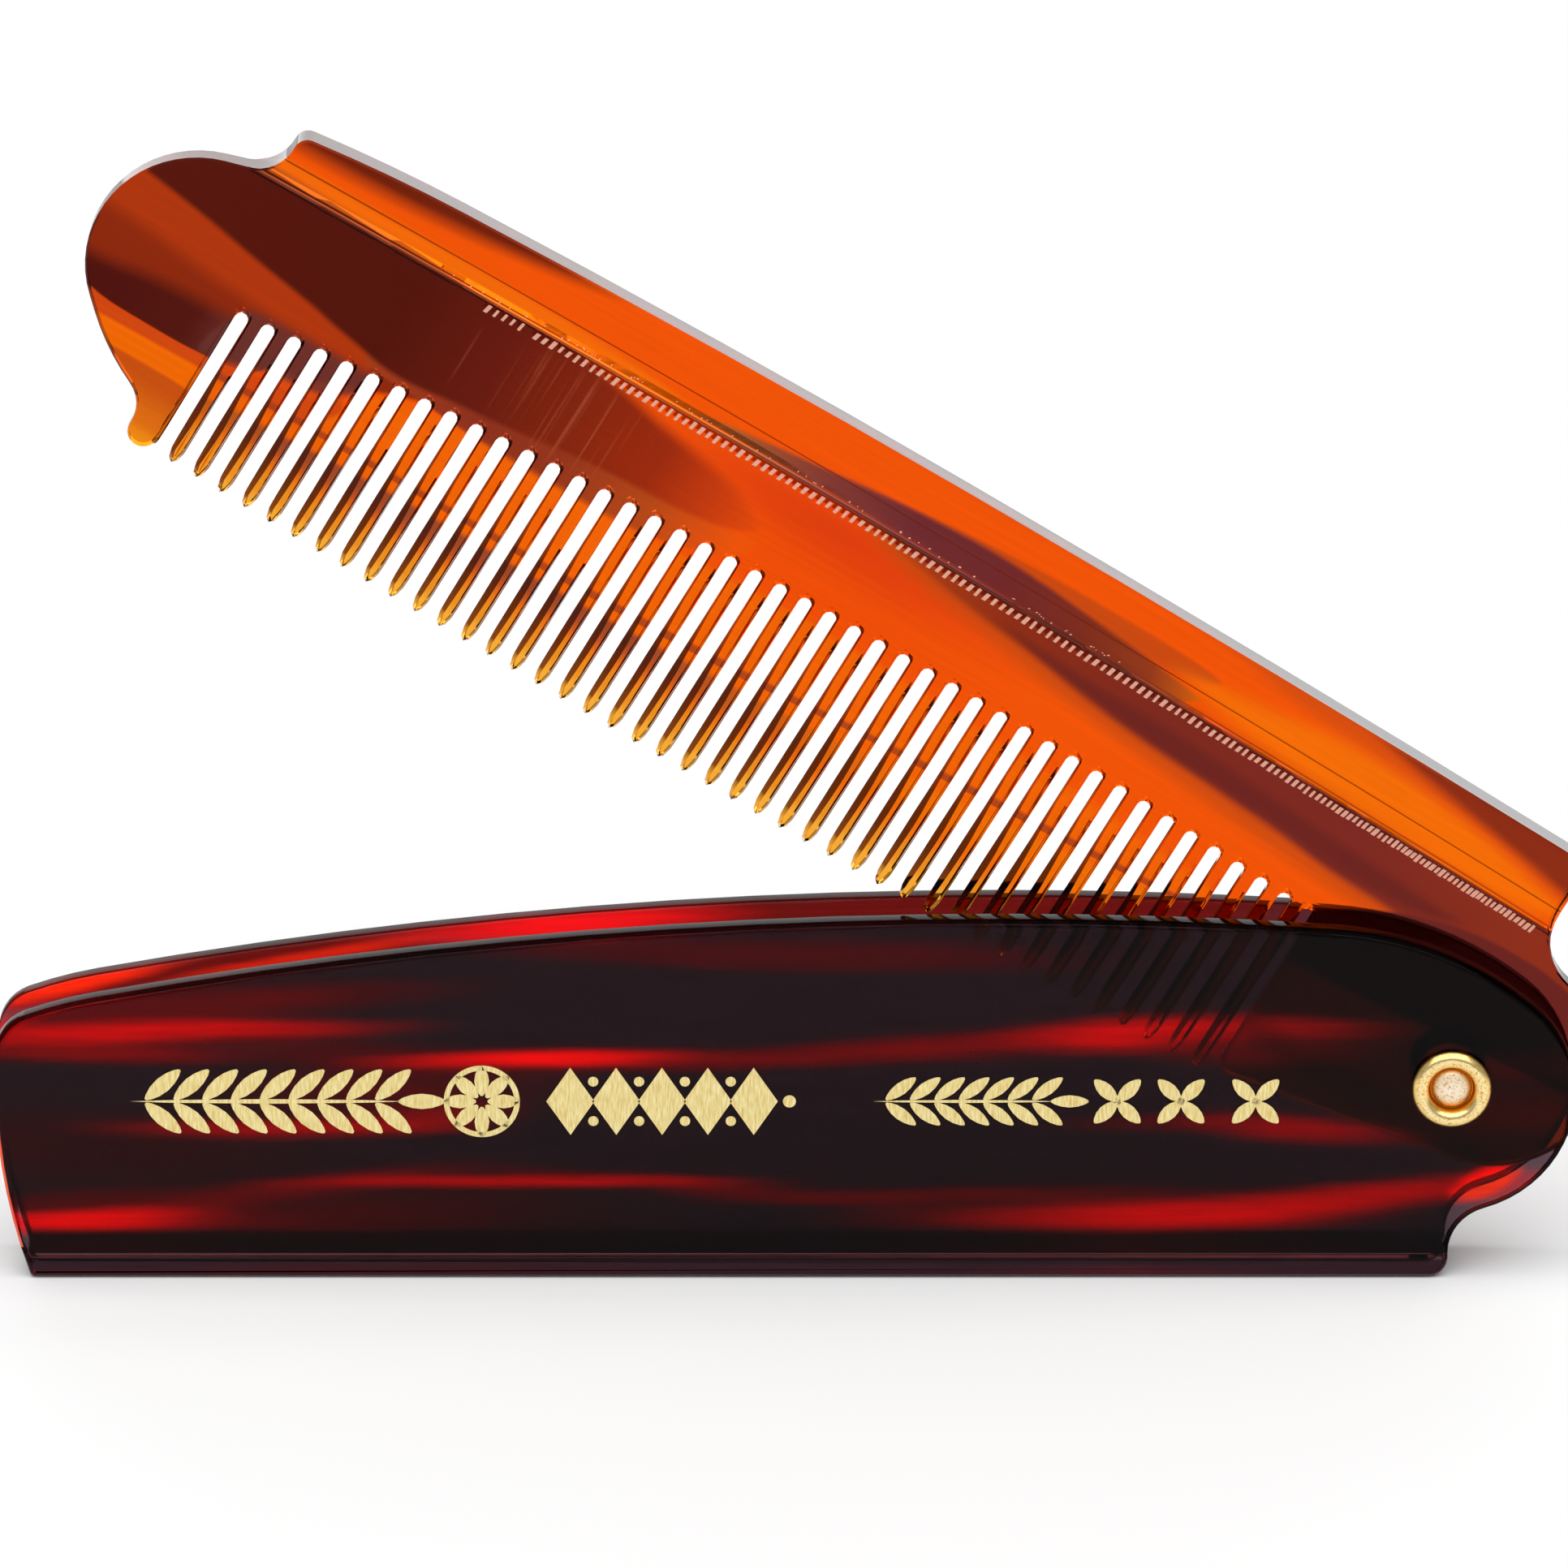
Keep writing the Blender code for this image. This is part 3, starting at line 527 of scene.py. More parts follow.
def point_teeth(piece):
    """Rounded saw slots, and facets that widen down each tooth as the pointing wheel leaves them."""
    for vert in piece.data.vertices:
        x, y, z = vert.co
        share = down_tooth(x, z)
        if not in_row(x) or share < -0.04:
            continue
        slot_x, tooth_x = nearest(x, FIRST_SLOT_X), nearest(x, FIRST_TOOTH_X)
        on_face = abs(y) > blade_half(z) - ON_FACE
        if not on_face:
            vert.co.y *= between(WALLS, share)
        if on_face and share <= 0 and abs(x - slot_x) < ROOT_REACH:
            vert.co.x = slot_x + (x - slot_x) * (1 - ROOT_TUCK)
            vert.co.z = z - ROOT_TUCK * ROOT_ROUND * clipped(-share * TOOTH_LENGTH / ROOT_ROUND)
        if share > 0 and abs(x - tooth_x) < TOOTH_HALF + ON_FACE:
            facets = LEFT_FACETS if x < tooth_x and y < 0 else OTHER_FACETS
            offset = (x - tooth_x) * between(TAPER, share)
            vert.co.x = tooth_x + offset * (1 - between(facets, share) if on_face else 1)
        lean = clipped((x - slot_x) / SLOT_HALF) * WALL_LEAN * (y + blade_half(z))
        vert.co.x += lean + ROOT_SHIFT + TIP_SHIFT * max(0.0, share)


def on_clear_wall(centre, normal):
    """A slot's end, or the upper part of its wall towards the hinge."""
    share = down_tooth(centre.x, centre.z)
    if not in_row(centre.x) or share < -0.05 or abs(normal.y) >= 0.6:
        return False
    return share < 0.03 and normal.z < -0.3 or share < 0.35 and normal.x > 0.3


def on_painted_shade_facet(centre, normal):
    """What the pointing wheel took off each tooth, at the left in front: the side that is painted in shade.
    """
    share = down_tooth(centre.x, centre.z)
    return in_row(centre.x) and 0.1 < share < 0.97 and normal.x < -0.12 and normal.y < -0.2


def on_sawn_wall(centre, normal):
    """The upper part of each tooth's wall towards the nose."""
    share = down_tooth(centre.x, centre.z)
    return in_row(centre.x) and 0.02 < share < 0.62 and normal.x < -0.3 and abs(normal.y) < 0.35


def on_comb_rim(centre, normal):
    """The plate's edge clear of the teeth, and the bevel under its nose."""
    clear = down_tooth(centre.x, centre.z) < -0.15 or centre.x < NOSE_RIM_X
    under_nose = centre.x < NOSE_BEVEL_X and -0.95 < normal.y < -0.3 and normal.z < -0.05
    return clear and abs(normal.y) < 0.3 or under_nose


def on_sheet(along, up):
    """A place on the comb as shares of the sheet that the flames are drawn on."""
    (left, low), (right, high) = FLAME_FROM, FLAME_TO
    return (along - left) / (right - left), (up - low) / (high - low)


def past_edge(tree, along, up, points, fade, sign):
    """Share of a flame's colour past one of its edges, drawn as a curve through points."""
    curve = add_node(tree, "FloatCurve", {"Value": along})[0]
    line = curve.node.mapping.curves[0]
    places = sorted(on_sheet(*point) for point in points)
    line.points[0].location, line.points[1].location = places[0], places[-1]
    for place in places[1:-1]:
        line.points.new(*place)
    for point in line.points:
        point.handle_type = "AUTO_CLAMPED"
    curve.node.mapping.update()
    past = add_node(tree, "Math", {0: up, 1: curve}, operation="SUBTRACT")[0]
    half = 0.5 * fade / (FLAME_TO[1] - FLAME_FROM[1])
    faded = {"Value": past, 1: -sign * half, 2: sign * half}
    return add_node(tree, "MapRange", faded, interpolation_type="SMOOTHSTEP")[0]


def along_colours(tree, along, stops):
    """Colour that changes along a flame: (mm from the pivot, colour) at each stop."""
    ramp = add_node(tree, "ValToRGB", {"Fac": along})["Color"]
    elements = ramp.node.color_ramp.elements
    (first, first_shade), *inner, (last, last_shade) = sorted(stops)
    elements[0].position, elements[0].color = on_sheet(first, 0)[0], linear(first_shade)
    elements[1].position, elements[1].color = on_sheet(last, 0)[0], linear(last_shade)
    for place, shade in inner:
        elements.new(on_sheet(place, 0)[0]).color = linear(shade)
    return ramp


def lay_flames(tree, place, ground, flames):
    """Colour after each flame is laid over the ground, between its lower and its upper edge."""
    parts = add_node(tree, "SeparateXYZ", {0: place})
    (left, low), (right, high) = FLAME_FROM, FLAME_TO
    along = add_node(tree, "MapRange", {"Value": parts["X"], 1: -left * MM, 2: -right * MM})[0]
    up = add_node(tree, "MapRange", {"Value": parts["Z"], 1: low * MM, 2: high * MM})[0]
    colour = ground
    for lower, lower_fade, upper, upper_fade, shade, strength in flames:
        over = past_edge(tree, along, up, lower, lower_fade, 1)
        under = past_edge(tree, along, up, upper, upper_fade, -1)
        share = add_node(tree, "Math", {0: over, 1: under}, operation="MULTIPLY")[0]
        share = add_node(tree, "Math", {0: share, 1: strength}, operation="MULTIPLY")[0]
        own = linear(shade) if isinstance(shade, str) else along_colours(tree, along, shade)
        colour = add_node(tree, "Mix", {0: share, 6: colour, 7: own}, data_type="RGBA")[2]
    return colour


def scratches(tree, colour, place):
    """Fine pale scratches down the blade, where it has been drawn through hair."""
    noise = drawn_noise(tree, place, SCRATCH_WIDE, SCRATCH_LONG, 1.0)["Fac"]
    lines = add_node(tree, "MapRange", {"Value": noise, 1: 0.6, 2: 0.72, 3: 0.0, 4: 0.35})[0]
    marks = {0: lines, 6: colour, 7: linear("#B85A3C")}
    scratched = add_node(tree, "Mix", marks, data_type="RGBA")[2]
    patch = {"Vector": place, "Location": SCRATCHED_AT, "Scale": SCRATCHED_HALF}
    own = add_node(tree, "Mapping", patch, vector_type="TEXTURE")[0]
    reach = add_node(tree, "VectorMath", {0: own}, operation="LENGTH")["Value"]
    here = add_node(tree, "MapRange", {"Value": reach, 1: 1.1, 2: 0.6})[0]
    return add_node(tree, "Mix", {0: here, 6: colour, 7: scratched}, data_type="RGBA")[2]


def painted_shade_line(tree, colour, height, middle, half_width, soft, shade, strength):
    """A thin line of painted shade where a height is near its middle."""
    away = add_node(tree, "Math", {0: height, 1: middle}, operation="SUBTRACT")[0]
    away = add_node(tree, "Math", {0: away}, operation="ABSOLUTE")[0]
    faded = {"Value": away, 1: half_width + soft, 2: half_width, 3: 0.0, 4: strength}
    share = add_node(tree, "MapRange", faded)[0]
    return add_node(tree, "Mix", {0: share, 6: colour, 7: linear(shade)}, data_type="RGBA")[2]


def comb_acetate(name, bending):
    """The same acetate, polished: clear orange with long brown flames, dark where the step was planed."""
    finish, tree, place = new_finish(name)
    sheet = figure_plane(tree, place, tuple(PIVOT), OPEN_ANGLE, COMB_SLANT, COMB_FRONT)
    figure = wavered(tree, sheet, 12 * MM, 2.0 * MM, 0.09 * MM)
    ground = linear(COMB_GROUND)
    blade = lay_flames(tree, figure, lay_streaks(tree, figure, ground, COMB_CLOUDS), BLADE_FLAMES)
    blade = scratches(tree, blade, sheet)
    band = lay_flames(tree, figure, ground, BAND_FLAMES)
    # The step cuts the blade's figure off crisply. Through its cove the back is seen a little lower down.
    step_line = over_line(tree, sheet, STEP_PEAK, STEP_RADIUS)
    depth = add_node(tree, "SeparateXYZ", {0: place})["Y"]
    through = {"Value": depth, 1: -0.2 * MM, 2: 0.2 * MM, 3: -0.25 * MM, 4: 0.15 * MM}
    lift = add_node(tree, "MapRange", through)[0]
    over_step = add_node(tree, "Math", {0: step_line, 1: lift}, operation="SUBTRACT")[0]
    in_band = add_node(tree, "MapRange", {"Value": over_step, 1: -0.04 * MM, 2: 0.04 * MM})[0]
    colour = add_node(tree, "Mix", {0: in_band, 6: blade, 7: band}, data_type="RGBA")[2]
    lines = fine_lines(tree, sheet, 12 * MM, 0.3 * MM, 0.05)
    colour = add_node(tree, "VectorMath", {0: colour, "Scale": lines}, operation="SCALE")[0]
    # The sight slant puts the lines of the front and of the back in line too
    # Painted shade: a near-black line under the step's brink, and a faint brown one along the crest
    colour = painted_shade_line(tree, colour, step_line, -0.22 * MM, 0.07 * MM, 0.05 * MM, "#160402", 0.95)
    crest_line = over_line(tree, sheet, CREST_PEAK, CREST_RADIUS)
    colour = painted_shade_line(tree, colour, crest_line, 0.03 * MM, 0.02 * MM, 0.03 * MM, "#6A1C04", 0.85)
    polished_skin(tree, place, colour, COMB_TINT, 0.05, bending)
    return finish


def by_height(tree, place, stops):
    """Colour by height in the comb's own frame, a little uneven: (mm up, colour) from the top down."""
    upright = figure_plane(tree, place, tuple(PIVOT), OPEN_ANGLE, 0)
    uneven = wavered(tree, upright, 1.5 * MM, 3 * MM, 0.3 * MM)
    height = add_node(tree, "SeparateXYZ", {0: uneven})["Z"]
    (top, upper), *others = stops
    colour = linear(upper)
    for low, lower in others:
        share = add_node(tree, "MapRange", {"Value": height, 1: top * MM, 2: low * MM})[0]
        further = {0: share, 6: colour, 7: linear(lower)}
        colour = add_node(tree, "Mix", further, data_type="RGBA")[2]
        top = low
    return colour


def painted_shade_facet_acetate():
    """A facet off the pointing wheel: polished, with painted shade, almost black down the tooth where it
    bends the light aside.
    """
    finish, tree, place = new_finish("wheel-pointed acetate with painted shade")
    stops = [
        (3.8, "#E04A04"),
        (2.0, "#6A2008"),
        (-1.0, "#240A04"),
        (-4.8, "#280A04"),
        (-6.8, "#4A1A08"),
        (-7.6, "#E8A040"),
    ]
    polished_skin(tree, place, by_height(tree, place, stops), COMB_TINT, 0.08, ACETATE_IOR)
    return finish


def sawn_acetate_painted_light():
    """A wall as the saw leaves it: dull and fine-ribbed, with painted light and shade: orange in front and
    dark red further in.
    """
    finish, tree, place = new_finish("saw-cut acetate with painted light and shade")
    # Painted light: orange in front, paler down the tooth
    painted_lit_orange = by_height(tree, place, [(-2.5, "#E04808"), (-5.0, "#FFA22C")])
    # 0.05 mm ribs, the real pitch of a fine saw's marks
    ribs = add_node(tree, "TexNoise", {"Vector": place, "Scale": 1 / (0.05 * MM), "Detail": 1.0})["Fac"]
    # Painted shade: dark red further into the comb
    depth = add_node(tree, "SeparateXYZ", {0: place})["Y"]
    inside = add_node(tree, "MapRange", {"Value": depth, 1: -0.5 * MM, 2: 0.2 * MM})[0]
    shades = {0: inside, 6: painted_lit_orange, 7: linear("#4A1006")}
    sockets = {
        "Base Color": add_node(tree, "Mix", shades, data_type="RGBA")[2],
        "Roughness": add_node(tree, "MapRange", {"Value": ribs, 3: 0.35, 4: 0.65})[0],
        "IOR": ACETATE_IOR,
        "Specular IOR Level": 0.0,
    }
    add_node(tree, "OutputMaterial", {"Surface": add_node(tree, "BsdfPrincipled", sockets)[0]})
    return finish


comb_plate = finer_copy("comb", "comb_plate")
comb_plate.data.transform(OUT_OF_COMB.inverted())
cut_loops(
    comb_plate,
    [level * MM for level in POINTING_LEVELS],
    [FIRST_SLOT_X + index * PITCH for index in range(TEETH + 1)],
)
point_teeth(comb_plate)
comb_plate.data.update()
amber_acetate = comb_acetate("polished amber tortoiseshell acetate", ACETATE_IOR)
dress(comb_plate, amber_acetate, "comb", "comb_acetate", "comb")
# A slot's end and right wall pass the white of the table behind on, so they barely show
finish_faces(comb_plate, comb_acetate("amber tortoiseshell acetate with light behind", 1.01), on_clear_wall)
# Painted shade on the left front facet of every tooth
finish_faces(comb_plate, painted_shade_facet_acetate(), on_painted_shade_facet)
# Painted light and shade on the upper part of each tooth's wall towards the nose
finish_faces(comb_plate, sawn_acetate_painted_light(), on_sawn_wall)
finish_faces(comb_plate, rim_acetate("comb acetate seen edge on", "#5A1C08", 1.37), on_comb_rim)
comb_plate.data.transform(OUT_OF_COMB)
polish(comb_plate, 25)


# Chatter marks: the planing cutter leaves a row of small nicks in the cove under the step, on both sides.
# They are cut acetate, never polished, coloured pale partly as painted highlight, so they show as pale
# slanted ticks.
CHATTER_PITCH = 0.588 * MM
CHATTER_START, CHATTER_END = -79.5 * MM, -0.6 * MM
SPARSE_TO_X, SPARSE_SHARE = -75.5 * MM, 0.55  # by the nose many nicks are missing
CROWDED_FROM_X, CROWDED_OVER, CROWDING = -32 * MM, 20 * MM, 0.38  # and towards the hinge they crowd
FLECKS, FLECKS_FROM_X, FLECKS_TO_X = 70, -83 * MM, -33 * MM  # tiny ones, over the step's brink
STEP_HALF, FOOT_HALF, WALL_DROP, COVE_DROP = 1.275 * MM, 1.06 * MM, 0.32 * MM, 0.9 * MM
COVE_SLOPE = 0.138  # half thickness lost for each millimetre down the cove
NICK_SIZE = (0.32 * MM, 0.05 * MM, 0.60 * MM)
NICK_BEVEL, NICK_SLANT = 0.02 * MM, 0.22
NICK_PROUD, FLECK_PROUD = 0.012 * MM, 0.006 * MM


def step_height(x):
    return STEP_PEAK.z - (x - STEP_PEAK.x) ** 2 / (2 * STEP_RADIUS)


def cove_half(drop):
    """Half the comb's thickness in the cove, by how far below the step's brink."""
    share = clipped((drop - WALL_DROP) / (COVE_DROP - WALL_DROP))
    return FOOT_HALF + (blade_half(BLADE_TOP_Z) - FOOT_HALF) * share


def make_nick():
    """One nick's burr: a thin slanted chip, 0.3 by 0.6 mm, with its edges rubbed down."""
    bpy.ops.mesh.primitive_cube_add(size=1)
    nick = bpy.context.object
    nick.data.transform(Matrix.Diagonal((*NICK_SIZE, 1)))
    edit_whole(nick)
    bpy.ops.mesh.bevel(offset=NICK_BEVEL, segments=1, affect="EDGES")
    bpy.ops.object.mode_set(mode="OBJECT")
    for vert in nick.data.vertices:
        vert.co.x += NICK_SLANT * vert.co.z
    return nick


def joined(parts, name):
    """Copies of a shape made one piece."""
    bpy.ops.object.select_all(action="DESELECT")
    for part in parts:
        part.select_set(True)
    bpy.context.view_layer.objects.active = parts[0]
    bpy.ops.object.join()
    parts[0].name = name
    return parts[0]


def lay_nicks(nick):
    """The row of nicks along the step, uneven as chatter is, on the front and on the back."""
    chance = random.Random(5)
    rows = []
    x = CHATTER_START
    while x < CHATTER_END:
        missing = x < SPARSE_TO_X and chance.random() < SPARSE_SHARE
        wide = chance.uniform(0.6, 0.95)
        tall = chance.uniform(0.75, 1.05)
        drop = chance.uniform(0.70, 0.76) * MM
        if not missing:
            for side in (-1, 1):
                place = Vector((x, side * (cove_half(drop) + NICK_PROUD), step_height(x) - drop))
                rows.append((place, wide, tall, side * COVE_SLOPE))
        crowded = CROWDING * clipped((x - CROWDED_FROM_X) / CROWDED_OVER)
        x += CHATTER_PITCH * (1 - crowded) * chance.uniform(0.94, 1.06)
    for _ in range(FLECKS):
        x = chance.uniform(FLECKS_FROM_X, FLECKS_TO_X)
        up = step_height(x) + chance.uniform(0.05, 0.22) * MM
        place = Vector((x, -(STEP_HALF + FLECK_PROUD), up))
        rows.append((place, chance.uniform(0.15, 0.4), chance.uniform(0.08, 0.18), 0))
    copies = []
    for place, wide, tall, slope in rows:
        lean = Matrix.Identity(4)
        lean[1][2] = slope
        mesh = nick.data.copy()
        mesh.transform(Matrix.Translation(place) @ lean @ Matrix.Diagonal((wide, 1, tall, 1)))
        copies.append(new_piece("nick", mesh))
    bpy.data.objects.remove(nick)
    row = joined(copies, "step_chatter")
    row.data.transform(OUT_OF_COMB)
    return row


def cut_acetate_painted_highlight():
    """Acetate as the cutter leaves it: white-bruised and dull, with the orange just showing through. Its
    pale pink is partly painted highlight.
    """
    finish, tree, place = new_finish("unpolished cut acetate with painted highlight")
    # 0.15 mm blotches, coarser than the real tear marks, so that they show
    colour = clouded(tree, place, 0.15 * MM, 2.0, "#F79C7C", "#FFD2BA")
    sockets = {"Base Color": colour, "Roughness": 0.6, "IOR": ACETATE_IOR, "Transmission Weight": 0.3}
    add_node(tree, "OutputMaterial", {"Surface": add_node(tree, "BsdfPrincipled", sockets)[0]})
    return finish


step_chatter = lay_nicks(make_nick())
dress(step_chatter, cut_acetate_painted_highlight(), "comb", "comb_acetate")


# The rivet: a brass tube through both leaves and the comb, rolled over in front into a round ring with
# a cup in it, and closed behind by a low domed head. It is bright, with fine specks of wear.
RIVET_SIDES = 96
# (radius, depth) in mm from the cup's middle round the ring, down the barrel and over the head behind
RIVET_PROFILE = [
    (0.25, -3.68), (0.50, -3.66), (0.75, -3.61), (0.95, -3.55), (1.12, -3.47), (1.24, -3.37), (1.31, -3.29),
    (1.37, -3.31), (1.42, -3.45), (1.47, -3.62), (1.53, -3.78), (1.62, -3.90), (1.74, -3.98), (1.88, -4.03),
    (2.04, -4.05), (2.20, -4.02), (2.36, -3.94), (2.48, -3.82), (2.56, -3.68), (2.58, -3.56), (2.55, -3.51),
    (2.45, -3.50), (1.70, -3.50), (1.70, 3.50), (2.38, 3.50), (2.45, 3.53), (2.44, 3.60),
    (2.36, 3.68), (2.16, 3.79), (1.86, 3.88), (1.45, 3.95), (0.95, 3.99), (0.40, 4.00),
]
RING_EDGE = 2.6 * MM
PIN_EDGE, PIN_MIDDLE = 1.32 * MM, 1.2 * MM
# Colour from the axis out to the ring's edge: the pin's head painted pale as its highlight, the groove
# painted deeper gold as the reflections in it, the pale ring
RIVET_SHADES_AND_PAINTED_LIGHT = [
    (0.0, "#FFF2DC"), (0.38, "#FBE6C4"), (0.47, "#E8B878"), (0.51, "#B86A0C"), (0.57, "#E09A20"),
    (0.63, "#F8DC94"), (0.80, "#FBE6A8"), (0.92, "#F2D080"), (1.0, "#E8C070"),
]


def upright_disc(sides, radius):
    """A filled disc in the X-Z plane, about the origin."""
    upright = (math.pi / 2, 0, 0)
    bpy.ops.mesh.primitive_circle_add(vertices=sides, radius=radius, fill_type="NGON", rotation=upright)
    bpy.ops.object.transform_apply(location=False, rotation=True, scale=False)
    return bpy.context.object


def turn_rivet():
    """A disc, drawn out ring by ring along the profile and closed at both ends."""
    (radius, depth), *others = RIVET_PROFILE
    rivet = upright_disc(RIVET_SIDES, radius * MM)
    rivet.name = "tubular_rivet"
    rivet.data.transform(Matrix.Translation((0, depth * MM, 0)))
    edit_whole(rivet)
    bpy.ops.mesh.select_mode(type="EDGE")
    bpy.ops.mesh.region_to_loop()
    for next_radius, next_depth in others:
        step = (0, (next_depth - depth) * MM, 0)
        bpy.ops.mesh.extrude_edges_move(TRANSFORM_OT_translate={"value": step})
        if next_radius != radius:
            wider, centre = next_radius / radius, (0, next_depth * MM, 0)
            bpy.ops.transform.resize(value=(wider, 1, wider), center_override=centre)
        radius, depth = next_radius, next_depth
    bpy.ops.mesh.edge_face_add()
    bpy.ops.mesh.select_all(action="SELECT")
    bpy.ops.mesh.remove_doubles(threshold=MERGE_WITHIN)
    bpy.ops.mesh.normals_make_consistent(inside=False)
    bpy.ops.object.mode_set(mode="OBJECT")
    rivet.data.transform(Matrix.Translation(PIVOT))
    return rivet


def rolled_brass():
    """Brass bright from rolling: pale gold, a little deeper and duller in small worn specks, with a painted
    highlight on the pin's head and painted reflection in the groove.
    """
    finish, tree, place = new_finish("bright rolled brass")
    # 0.12 mm specks, a little coarser than real handling wear
    grain = {"Vector": place, "Scale": 1 / (0.12 * MM), "Detail": 3.0}
    specks = add_node(tree, "TexNoise", grain)["Fac"]
    worn = add_node(tree, "MapRange", {"Value": specks, 1: 0.52, 2: 0.72})[0]
    off_axis = add_node(tree, "VectorMath", {0: place, 1: tuple(PIVOT)}, operation="SUBTRACT")[0]
    off_axis = add_node(tree, "VectorMath", {0: off_axis, 1: (1, 0, 1)}, operation="MULTIPLY")[0]
    radius = add_node(tree, "VectorMath", {0: off_axis}, operation="LENGTH")["Value"]
    outward = add_node(tree, "MapRange", {"Value": radius, 1: 0, 2: RING_EDGE})[0]
    # Painted highlight on the pin's head and painted reflection in the groove, by radius
    painted_light_rings = add_node(tree, "ValToRGB", {"Fac": outward})["Color"]
    elements = painted_light_rings.node.color_ramp.elements
    elements[0].color, elements[1].color = linear(RIVET_SHADES_AND_PAINTED_LIGHT[0][1]), linear(RIVET_SHADES_AND_PAINTED_LIGHT[-1][1])
    for position, shade in RIVET_SHADES_AND_PAINTED_LIGHT[1:-1]:
        elements.new(position).color = linear(shade)
    marks = {0: worn, 6: painted_light_rings, 7: linear("#C88A30")}
    gloss = add_node(tree, "MapRange", {"Value": specks, 3: 0.14, 4: 0.34})[0]
    # The pin's head is duller than the ring that was rolled over it
    on_pin = {"Value": radius, 1: PIN_EDGE, 2: PIN_MIDDLE, 3: 0.0, 4: 0.25}
    duller = add_node(tree, "MapRange", on_pin)[0]
    relief = {"Height": specks, "Strength": 0.15, "Distance": 0.02 * MM}
    sockets = {
        "Base Color": add_node(tree, "Mix", marks, data_type="RGBA")[2],
        "Roughness": add_node(tree, "Math", {0: gloss, 1: duller}, operation="ADD")[0],
        "Metallic": 1.0,
        "Normal": add_node(tree, "Bump", relief)[0],
    }
    add_node(tree, "OutputMaterial", {"Surface": add_node(tree, "BsdfPrincipled", sockets)[0]})
    return finish


tubular_rivet = turn_rivet()
make_active(tubular_rivet)
bpy.ops.object.shade_smooth_by_angle(angle=math.radians(50))
dress(tubular_rivet, rolled_brass(), "case", "brass", "rivet")


# The foil border: thin gold foil, hot-stamped on the front leaf. A plain running ornament of leaf
# sprigs, a rosette, lozenges and small flowers stands along the middle of the leaf.
LEAF_FACE_Y = -3.25 * MM
FOIL_LIFT, FOIL_THICKNESS = 0.004 * MM, 0.016 * MM
# mm along the case and up it, as stamp() takes them
FOIL_LINE = 12.15
LONG_SPRIG, SHORT_SPRIG = (-39.2, -21.6), (8.6, 20.4)
LEAF_OFF_STEM, LAST_LEAF_INSET = 0.1, 0.4
ROSETTE_X, PETAL_OUT = -16.6, 0.35
LOZENGES, LOZENGE_X, LOZENGE_PITCH = 5, -10.9, 2.95
DOT_OFF_LINE, END_DOT_X = 1.35, 3.2
FLOWERS = (24.3, 28.4, 33.2)
foil_parts = []


def foil_blade(length, width, points=14):
    """A pointed leaf of foil in the X-Z plane, from the origin along +X."""
    blade = upright_disc(points, 0.5)
    for vert in blade.data.vertices:
        along = vert.co.x * 2
        vert.co.z *= (1 - along * along * 0.35) * width
        vert.co.x = (vert.co.x + 0.5) * length
    return blade


def foil_ring(radius, inner, sides):
    """A flat ring of foil about the origin."""
    ring = upright_disc(sides, radius)
    edit_whole(ring)
    bpy.ops.mesh.inset(thickness=radius - inner)
    bpy.ops.mesh.delete(type="FACE")
    bpy.ops.object.mode_set(mode="OBJECT")
    return ring


def stamp(shape, x, z, turn=0.0, scale=1.0):
    """A copy of a foil shape at its place on the border."""
    mesh = shape.data.copy()
    place = Matrix.Translation((x * MM, 0, z * MM))
    mesh.transform(place @ Matrix.Rotation(-math.radians(turn), 4, "Y") @ Matrix.Scale(scale, 4))
    foil_parts.append(new_piece("foil_part", mesh))


def stamp_sprig(leaf, stem, span, pairs, lean, scale):
    """A stem with pairs of leaves that lean towards its right end."""
    left, right = span
    stamp(stem, (left + right) / 2, FOIL_LINE, 0, right - left)
    for index in range(pairs):
        x = left + (index + 0.5) * (right - left) / (pairs + 0.5)
        stamp(leaf, x, FOIL_LINE + LEAF_OFF_STEM, lean, scale)
        stamp(leaf, x, FOIL_LINE - LEAF_OFF_STEM, -lean, scale)
    stamp(leaf, right - LAST_LEAF_INSET, FOIL_LINE, 0, scale)


leaf_shape = foil_blade(3.1 * MM, 1.05 * MM)
petal_shape = foil_blade(2.1 * MM, 0.95 * MM)
stem_shape = foil_blade(1.0 * MM, 0.018 * MM, 8)
stem_shape.data.transform(Matrix.Translation((-0.5 * MM, 0, 0)))
dot_shape = upright_disc(16, 0.42 * MM)
ring_shape = foil_ring(2.45 * MM, 2.1 * MM, 48)
lozenge_shape = upright_disc(4, 1.0 * MM)
lozenge_shape.data.transform(Matrix.Diagonal((1.55, 1, 2.3, 1)))

stamp_sprig(leaf_shape, stem_shape, LONG_SPRIG, 9, 42, 1.0)
stamp(ring_shape, ROSETTE_X, FOIL_LINE)
for turn in range(0, 360, 45):
    along, up = PETAL_OUT * math.cos(math.radians(turn)), PETAL_OUT * math.sin(math.radians(turn))
    stamp(petal_shape, ROSETTE_X + along, FOIL_LINE + up, turn)
for index in range(LOZENGES):
    stamp(lozenge_shape, LOZENGE_X + LOZENGE_PITCH * index, FOIL_LINE)
for index in range(LOZENGES - 1):
    for side in (1, -1):
        x = LOZENGE_X + LOZENGE_PITCH * (index + 0.5)
        stamp(dot_shape, x, FOIL_LINE + side * DOT_OFF_LINE, 0, 0.8)
stamp(dot_shape, END_DOT_X, FOIL_LINE)
stamp_sprig(leaf_shape, stem_shape, SHORT_SPRIG, 7, 38, 0.8)
for x in FLOWERS:
    for turn in range(45, 405, 90):
        stamp(petal_shape, x, FOIL_LINE, turn)
    stamp(dot_shape, x, FOIL_LINE, 0, 0.6)

